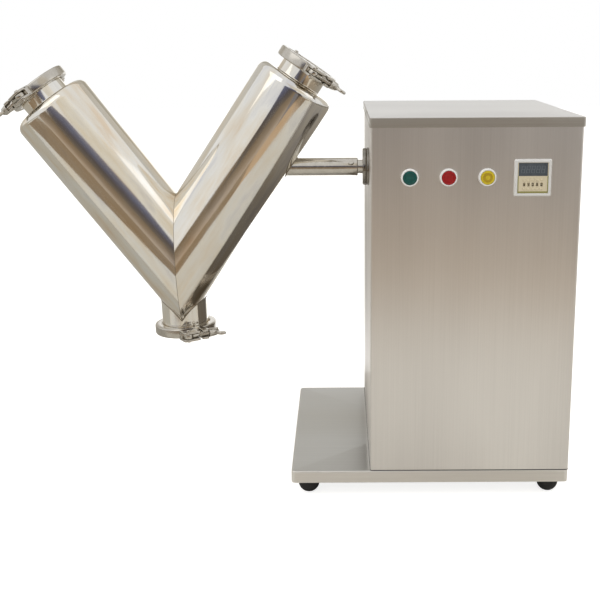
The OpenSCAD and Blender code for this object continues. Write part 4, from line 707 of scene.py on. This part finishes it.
# The frame is a rounded square carried round its lip, and the numbers stand on the wheels' rims
def buildTimer(m):
    low, high = nodeBox("timer_frame")
    centre = np.array([(low[0] + high[0]) / 2, panelY, (low[2] + high[2]) / 2])
    place = (outward, centre)
    inset = m["half"] - m["open"]
    lip = roundProfile([(inset, 0), (0, 0), (0, 1.2), (1.5, m["rise"]), (inset - 0.5, m["rise"]),
                        (inset, m["face"]), (inset, 0)], [0, 0.4, 0.9, 0.5, 0.2], 5)
    surfacePiece("timerFrame", [(rectGrid(place, m["half"], m["half"], 2.2, lip), True, 0)],
                 [finishes["grey_frame"]], "stand", ["timer_frame"], 35)

    # Display: a smoked pane with the strokes of its unlit numbers
    z0, z1 = m["windowZ"]
    pane = (outward, centre + np.array([0, 0, (z0 + z1) / 2]))
    top, x = m["face"], m["windowX"]
    paneProfile = [(x, top - m["windowT"]), (0, top - m["windowT"]), (0, top - 0.3), (0.3, top), (x, top)]
    sheets = [(rectGrid(pane, x, (z1 - z0) / 2, 0.8, paneProfile), True, 0)]
    sunk, rise, edge = m["segment"]
    for i in range(5):
        for a in strokes(*m["bigNumber"]).values():
            shift = (i - 2) * m["bigPitch"] + m["slant"] * (a[1] + a[3]) / 2
            low, high = (a[0] + shift, a[1] + 0.1, top - sunk), (a[2] + shift, a[3] - 0.1, top + rise)
            sheets.append((boxGrid(pane, low, high, edge, 2), True, 1))
    surfacePiece("timerDisplay", sheets, [finishes["dark_display"], segmentGrey], "stand", ["timer_window"], 35)

    # Step keys above and below the numbers, and olive strips round the face: painted shade for the gap round it
    keys = []
    w, h = m["key"]
    sunk, rise, edge = m["keyTop"]
    for i in range(5):
        for z in m["keyRows"]:
            x = (i - 2) * m["pitch"]
            keys.append((boxGrid(place, (x - w, z - h, top - sunk), (x + w, z + h, top + rise), edge), True, 0))
    brim, foot, side = m["brim"], m["brim"] - m["brimFoot"], m["brimSide"]
    strips = [(-brim, -brim, brim, -foot), (-brim, -foot + 0.1, side - brim, z0 - 0.2),
              (brim - side, -foot + 0.1, brim, z0 - 0.2)]
    sunk, rise, edge = m["brimTop"]
    for a in strips:
        keys.append((boxGrid(place, (a[0], a[1], top - sunk), (a[2], a[3], top + rise), edge), True, 1))
    surfacePiece("timerKeys", keys, [finishes["beige_face"], gapShadeStrips], "stand", (), 35)

    # Digit wheels: ten plain numbers round each, the first one to the front
    rim = roundLoop([(m["bore"], -m["wheelW"] / 2), (m["wheelR"], -m["wheelW"] / 2), (m["wheelR"], m["wheelW"] / 2),
                     (m["bore"], m["wheelW"] / 2)], [0.2, 0.5, 0.5, 0.2], 3)
    sunk, rise, edge = m["ink"]
    for i, first in enumerate(m["shown"]):
        axle = centre + np.array([(i - 2) * m["pitch"], m["axleIn"], -m["drop"]])
        sheets = [(ringGrid(rim, (turnY(90), axle), 60), True, 0)]
        for k in range(10):
            for name in glyphs[(first + k) % 10]:
                a = strokes(*m["number"])[name]
                q = math.radians(36 * k) + (a[1] + a[3]) / 2 / m["wheelR"]
                turn = np.array([[1, 0, 0], [0, math.cos(q), math.sin(q)], [0, -math.sin(q), math.cos(q)]]) @ outward
                tall = (a[3] - a[1]) / 2
                low, high = (a[0], -tall, m["wheelR"] - sunk), (a[2], tall, m["wheelR"] + rise)
                sheets.append((boxGrid((turn, axle), low, high, edge, 2), True, 1))
        node = "digit_wheel_%d" % (i + 1)
        surfacePiece("digitWheel%d" % (i + 1), sheets, [finishes["beige_face"], numberInk], "digit_%d" % (i + 1),
                     [node], 35)


buildButtons(button)
buildTimer(timer)
print("controls built")

# Sheet work: the tray and the lid are folded pans with round edges; hub and sleeve are turned
# The last three sizes are of the dark bead round the cabinet's foot, which paints the shade where it meets the tray
sheet = {"trayT": 2.0, "trayR": 7.0, "trayFold": 3.2, "lidT": 1.5, "lidR": 3.5, "lidFold": 1.6,
         "shadeBeadOut": 0.5, "shadeBeadT": 0.7, "shadeBeadR": 3.5}


# A folded pan in two sheets: the inside and the rim, then the fold and the top, each in its own tone for painted shade
def panSheets(node, wall, corner, fold):
    low, high = nodeBox(node)
    half, height = (high - low) / 2, high[2] - low[2]
    place = (np.eye(3), np.array([(low[0] + high[0]) / 2, (low[1] + high[1]) / 2, low[2]]))
    far = half[:2].max()
    corners = [(far, height - wall), (wall, height - wall), (wall, 0), (0, 0), (0, height), (far, height)]
    profile = roundProfile(corners, [0.8, 0, 0.3, fold], 8)
    folded = len(profile) - 5
    return [(rectGrid(place, half[0], half[1], corner, profile[:folded + 1], 9), True, 1),
            (rectGrid(place, half[0], half[1], corner, profile[folded:], 9), True, 0)]


# Pans with a sheet's wall, and a dark bead round the cabinet's foot as painted shade
def buildSheets(w):
    surfacePiece("tray", panSheets("base_tray", w["trayT"], w["trayR"], w["trayFold"]), [trayTopShadeSheet, rimSheet], "stand",
                 ["base_tray"], 50)
    surfacePiece("lidPan", panSheets("lid", w["lidT"], w["lidR"], w["lidFold"]), [lidSheet, lipShadeSheet], "stand",
                 ["lid"], 50)
    # A dark bead where the cabinet stands on the tray: painted shade for the line between them
    half = (cabinetHigh - cabinetLow)[:2] / 2 + w["shadeBeadOut"]
    place = (np.eye(3), np.array([*(cabinetLow + cabinetHigh)[:2] / 2, cabinetLow[2]]))
    far, top = half.max(), w["shadeBeadT"]
    bead = rectGrid(place, half[0], half[1], w["shadeBeadR"], [(far, 0), (0, 0), (0, top), (far, top)])
    surfacePiece("footShadeBead", [(bead, True, 0)], [finishes["black_plastic"]], "stand", (), 35)


# Outlines as (radius, height) and their corner radii: a plate on the cabinet and a flange with a spigot
hub = {"hub_plate": ([(17.5, 0), (31, 0), (31, 3.5), (17.5, 3.5)], [0, 0.8, 0.8, 0]),
       "hub_flange": ([(11.55, 0), (30, 0), (30, 6.8), (17.5, 6.8), (17.5, 8.8), (11.55, 8.8)],
                      [0.6, 1.2, 0.8, 0, 0, 0])}


# Discs turned about the shaft, starting where their nodes start
def buildHub(outlines):
    for node, (corners, radii) in outlines.items():
        place = (turnY(90), np.array([nodeBox(node)[0][0], *shaftAxis[1:]]))
        surfacePiece(node.title().replace("_", ""), [(ringGrid(roundLoop(corners, radii), place, 96), True, 0)],
                     [hubSteel], "stand", [node], 35)


# The sleeve runs from its gap at the cabinet into the right leg
def buildSleeve(b):
    low, high = nodeBox("shaft_sleeve")
    place = (turnY(-90), np.array([high[0], *shaftAxis[1:]]))
    bore, outer = b["bore"], b["outer"]
    profile = roundProfile([(bore, b["socket"]), (bore, 0), (outer, 0), (outer, 30), (outer, high[0] - low[0])],
                           [0.5, 1.2, 0], 6)
    surfacePiece("sleeve", [(latheGrid(profile, place), True, 0)], [finishes["turned_steel"]], "drum",
                 ["shaft_sleeve"], 35)


buildSheets(sheet)
buildHub(hub)
buildSleeve(sleeve)
print("sheets and hub built")


# The floor is pale and lit; camera rays see it topped up to white, so its shadow stays. The sky lights the part
# with skyLight, is white to the camera and a little less in reflections.
studio = {"floor": "#dad6cd", "topUp": 0.8, "glossUp": 0.05, "skyLight": 0.7, "skyDrop": 0.16, "half": 9.0}


# Sky and floor: each level is worked out from the kind of ray that sees it
def buildStudio(c):
    world = bpy.context.scene.world or bpy.data.worlds.new("studio")
    bpy.context.scene.world = world
    world.use_nodes = True
    tree = world.node_tree
    tree.nodes.clear()
    ray = addNode(tree, "ShaderNodeLightPath").outputs
    seen = addMath(tree, "MAXIMUM", ray["Is Camera Ray"], ray["Is Glossy Ray"])
    seen = addMath(tree, "MAXIMUM", seen.outputs[0], ray["Is Transmission Ray"])
    level = addNode(tree, "ShaderNodeMapRange", None, {0: seen.outputs[0], 1: 0.0, 2: 1.0, 3: c["skyLight"], 4: 1.0})
    mirrored = addMath(tree, "MULTIPLY", ray["Is Glossy Ray"], c["skyDrop"])
    level = addMath(tree, "SUBTRACT", level.outputs[0], mirrored.outputs[0])
    sky = addNode(tree, "ShaderNodeBackground", None, {"Color": (1, 1, 1, 1), "Strength": level.outputs[0]})
    addNode(tree, "ShaderNodeOutputWorld", None, {"Surface": sky.outputs[0]})

    mesh = bpy.data.meshes.new("floor")
    h = c["half"]
    mesh.from_pydata([(-h, -h, 0), (h, -h, 0), (h, h, 0), (-h, h, 0)], [], [(0, 1, 2, 3)])
    floor = addObject("floor", mesh)
    mat, tree = emptyMaterial("pale_studio_floor")
    ray = addNode(tree, "ShaderNodeLightPath").outputs
    seen = addMath(tree, "MAXIMUM", ray["Is Camera Ray"], ray["Is Transmission Ray"])
    gloss = addMath(tree, "MULTIPLY", ray["Is Glossy Ray"], c["glossUp"])
    level = addMath(tree, "MULTIPLY_ADD", seen.outputs[0], c["topUp"], gloss.outputs[0])
    lit = addNode(tree, "ShaderNodeBsdfDiffuse", None, {"Color": hexLinear(c["floor"])})
    glow = addNode(tree, "ShaderNodeEmission", None, {"Color": (1, 1, 1, 1), "Strength": level.outputs[0]})
    both = addNode(tree, "ShaderNodeAddShader", None, {0: lit.outputs[0], 1: glow.outputs[0]})
    addNode(tree, "ShaderNodeOutputMaterial", None, {"Surface": both.outputs[0]})
    mesh.materials.append(mat)


# Cards round the object, which only mirror-like surfaces see: brown and pale floors, walls, a dark doorway, panels in
# the lamps' places and a dark card on the cabinet's side for painted shade. Each has its corners in millimetres and
# one colour, or stops from foot to head.
cards = {
    "backWall": {"corners": [(-900, 3000, 0), (1400, 3000, 0), (1400, 3000, 4500), (-900, 3000, 4500)], "glow": 1.3,
                 "stops": [(0, "#ffffff"), (0.27, "#ffffff"), (0.35, "#b4b0a8"), (0.45, "#989489"), (0.62, "#a8a49c"),
                           (1, "#a8a49c")]},
    "brownFloor": {"corners": [(-1900, -2350, 2), (1500, -2350, 2), (1500, -950, 2), (480, -1380, 2), (198, -1508, 2),
                               (-772, -945, 2), (-1900, -290, 2)], "colour": "#94826c"},
    "brownWall": {"corners": [(-1750, -2340, 0), (1500, -2340, 0), (1500, -2340, 900), (-600, -2340, 900),
                              (-950, -2340, 720), (-1750, -2340, 600)],
                  "stops": [(0, "#bdafa0"), (0.28, "#978775"), (0.6, "#7b6b57"), (1, "#8b7a68")]},
    "backRight": {"corners": [(1400, 3000, 0), (5500, 3000, 0), (5500, 3000, 4500), (1400, 3000, 4500)],
                  "stops": [(0, "#b4b1a9"), (0.2, "#d3cfc7"), (1, "#c4c0b8")]},
    "backLeft": {"corners": [(-5500, 3000, 0), (-900, 3000, 0), (-900, 3000, 4500), (-5500, 3000, 4500)],
                 "stops": [(0, "#b4b1a9"), (0.2, "#d3cfc7"), (1, "#c4c0b8")]},
    "farFloor": {"corners": [(-4500, -900, 1), (-260, -250, 1), (-260, 420, 1), (-200, 2990, 1), (-4500, 2990, 1)],
                 "colour": "#b4b1a9"},
    "rightFloor": {"corners": [(440, 420, 1), (4500, 420, 1), (4500, 2990, 1), (440, 2990, 1)],
                   "colour": "#9c9890"},
    "whiteStrip": {"corners": [(-200, 420, 1), (440, 420, 1), (440, 2990, 1), (-200, 2990, 1)], "glow": 1.7,
                   "colour": "#ffffff"},
    "darkCorner": {"corners": [(430, -2330, 0), (1500, -2330, 0), (1500, -2330, 760), (430, -2330, 640)],
                   "stops": [(0, "#8b8788"), (0.45, "#7b7a7f"), (1, "#77767c")]},
    "warmFloor": {"corners": [(198, -2335, 3), (820, -2335, 3), (820, -1240, 3), (480, -1380, 3), (198, -1508, 3)],
                  "colour": "#c8ae90"},
    "darkRight": {"corners": [(760, -2325, 0), (1500, -2325, 0), (1500, -2325, 760), (760, -2325, 700)],
                  "stops": [(0, "#5f5852"), (0.5, "#4a484c"), (1, "#55535a")]},
    "keyPanel": {"corners": [(-3001, -1261, 2148), (-1365, -3015, 2148), (1, -1739, 3652), (-1635, 15, 3652)],
                 "glow": 1.4, "colour": "#ffffff"},
    "fillPanel": {"corners": [(2802, -1519, 1258), (3152, -61, 1258), (2398, 119, 2542), (2048, -1339, 2542)],
                  "glow": 1.2, "colour": "#ffffff"},
    "paleWall": {"corners": [(250, -2400, 1350), (3600, -2400, 1350), (3600, -2400, 3600), (250, -2400, 3600)],
                 "stops": [(0, "#e2dccf"), (0.4, "#dcd5c8"), (1, "#f0ece4")]},
    # Painted shade: the cabinet's side as the drum sees it, darkest at its foot
    "cabinetSideShade": {"corners": [(130, 190, 60), (130, -195, 60), (130, -195, 600), (130, 190, 600)], "oneSided": True,
                    "stops": [(0, "#5d564d"), (0.5, "#6e675e"), (0.8, "#8c857b"), (1, "#a09a90")]},
    "darkDoor": {"corners": [(-850, -2300, 430), (860, -2300, 430), (900, -2300, 1330), (-700, -2300, 1200)],
                 "stops": [(0, "#8a7862"), (0.12, "#6f655b"), (0.35, "#5b5554"), (0.6, "#66677a"), (0.85, "#7b7c8c"),
                           (0.95, "#8d8289"), (1, "#a98a6c")]}}


# A card glows in its colours and casts no light or shadow; a one-sided card is clear from behind
def buildCard(name, card):
    mesh = bpy.data.meshes.new(name)
    corners = np.array(card["corners"], float) * mm
    mesh.from_pydata(corners.tolist(), [], [tuple(range(len(corners)))])
    mat, tree = emptyMaterial(name)
    place = addNode(tree, "ShaderNodeTexCoord")
    split = addNode(tree, "ShaderNodeSeparateXYZ", None, {0: place.outputs["Object"]})
    low, high = float(corners[:, 2].min()), float(corners[:, 2].max()) + 1e-4
    height = addNode(tree, "ShaderNodeMapRange", None, {0: split.outputs["Z"], 1: low, 2: high, 3: 0.0, 4: 1.0})
    stops = card.get("stops") or [(0, card["colour"]), (1, card["colour"])]
    tone = addRamp(tree, stops, height.outputs[0])
    glow = addNode(tree, "ShaderNodeEmission", None, {"Color": tone.outputs[0], "Strength": card.get("glow", 1.0)})
    clear = addNode(tree, "ShaderNodeBsdfTransparent")
    side = addNode(tree, "ShaderNodeNewGeometry")
    back = addMath(tree, "MULTIPLY", side.outputs["Backfacing"], 1.0 if card.get("oneSided") else 0.0)
    shown = addNode(tree, "ShaderNodeMixShader", None, {0: back.outputs[0], 1: glow.outputs[0], 2: clear.outputs[0]})
    addNode(tree, "ShaderNodeOutputMaterial", None, {"Surface": shown.outputs[0]})
    mesh.materials.append(mat)
    obj = addObject(name, mesh)
    obj.visible_camera = False
    obj.visible_diffuse = False
    obj.visible_shadow = False
    obj.visible_transmission = False


# Soft lamps: where they stand and aim, their size and watts. The steel reflects their panels instead of them.
lamps = {"keyLamp": {"at": (-1500, -1500, 2900), "to": (0, -100, 350), "size": 2400, "watts": 22},
         "fillLamp": {"at": (2600, -700, 1900), "to": (100, -100, 350), "size": 1500, "watts": 10}}


# A square lamp whose local Z points from its aim back to it
def buildLamp(name, lamp):
    data = bpy.data.lights.new(name, "AREA")
    data.size = lamp["size"] * mm
    data.energy = lamp["watts"]
    obj = addObject(name, data)
    obj.visible_glossy = False
    at, to = np.array(lamp["at"], float) * mm, np.array(lamp["to"], float) * mm
    z = (at - to) / np.linalg.norm(at - to)
    x = np.cross((0, 0, 1), z)
    x /= np.linalg.norm(x)
    turn = np.stack([x, np.cross(z, x), z], 1)
    obj.matrix_world = Matrix.Translation(at) @ Matrix(turn.tolist()).to_4x4()


# The photograph's camera: fitted to the cabinet's and the tray's edges
camera = {"fromCabinet": (-46.7, -1558.7, 691.8), "yaw": -0.089, "pitch": 13.158, "roll": 0.332,
          "focal": 1026.07, "middle": (339.12, 275.42), "image": 600, "sensor": 36.0}


# Yaw turns it from straight ahead, pitch tips it down and roll turns the picture
def buildCamera(c):
    yaw, pitch, roll = (math.radians(c[k]) for k in ("yaw", "pitch", "roll"))
    ahead = np.array([math.sin(yaw) * math.cos(pitch), math.cos(yaw) * math.cos(pitch), -math.sin(pitch)])
    right = np.array([math.cos(yaw), -math.sin(yaw), 0.0])
    down = np.cross(ahead, right)
    across = math.cos(roll) * right + math.sin(roll) * down
    below = math.cos(roll) * down - math.sin(roll) * right
    data = bpy.data.cameras.new("photoCamera")
    data.sensor_width = c["sensor"]
    data.lens = c["focal"] * c["sensor"] / c["image"]
    data.shift_x = (c["image"] / 2 - c["middle"][0]) / c["image"]
    data.shift_y = (c["middle"][1] - c["image"] / 2) / c["image"]
    data.clip_start, data.clip_end = 0.05, 60
    obj = addObject("photoCamera", data)
    turn = np.stack([across, -below, -ahead], 1)
    at = (cabinetLow + np.array(c["fromCabinet"])) * mm
    obj.matrix_world = Matrix.Translation(at) @ Matrix(turn.tolist()).to_4x4()
    bpy.context.scene.camera = obj


buildStudio(studio)
for name, card in cards.items():
    buildCard(name, card)
for name, lamp in lamps.items():
    buildLamp(name, lamp)
buildCamera(camera)
bpy.context.scene.view_settings.view_transform = "Standard"
print("studio and camera set")

bpy.context.view_layer.update()
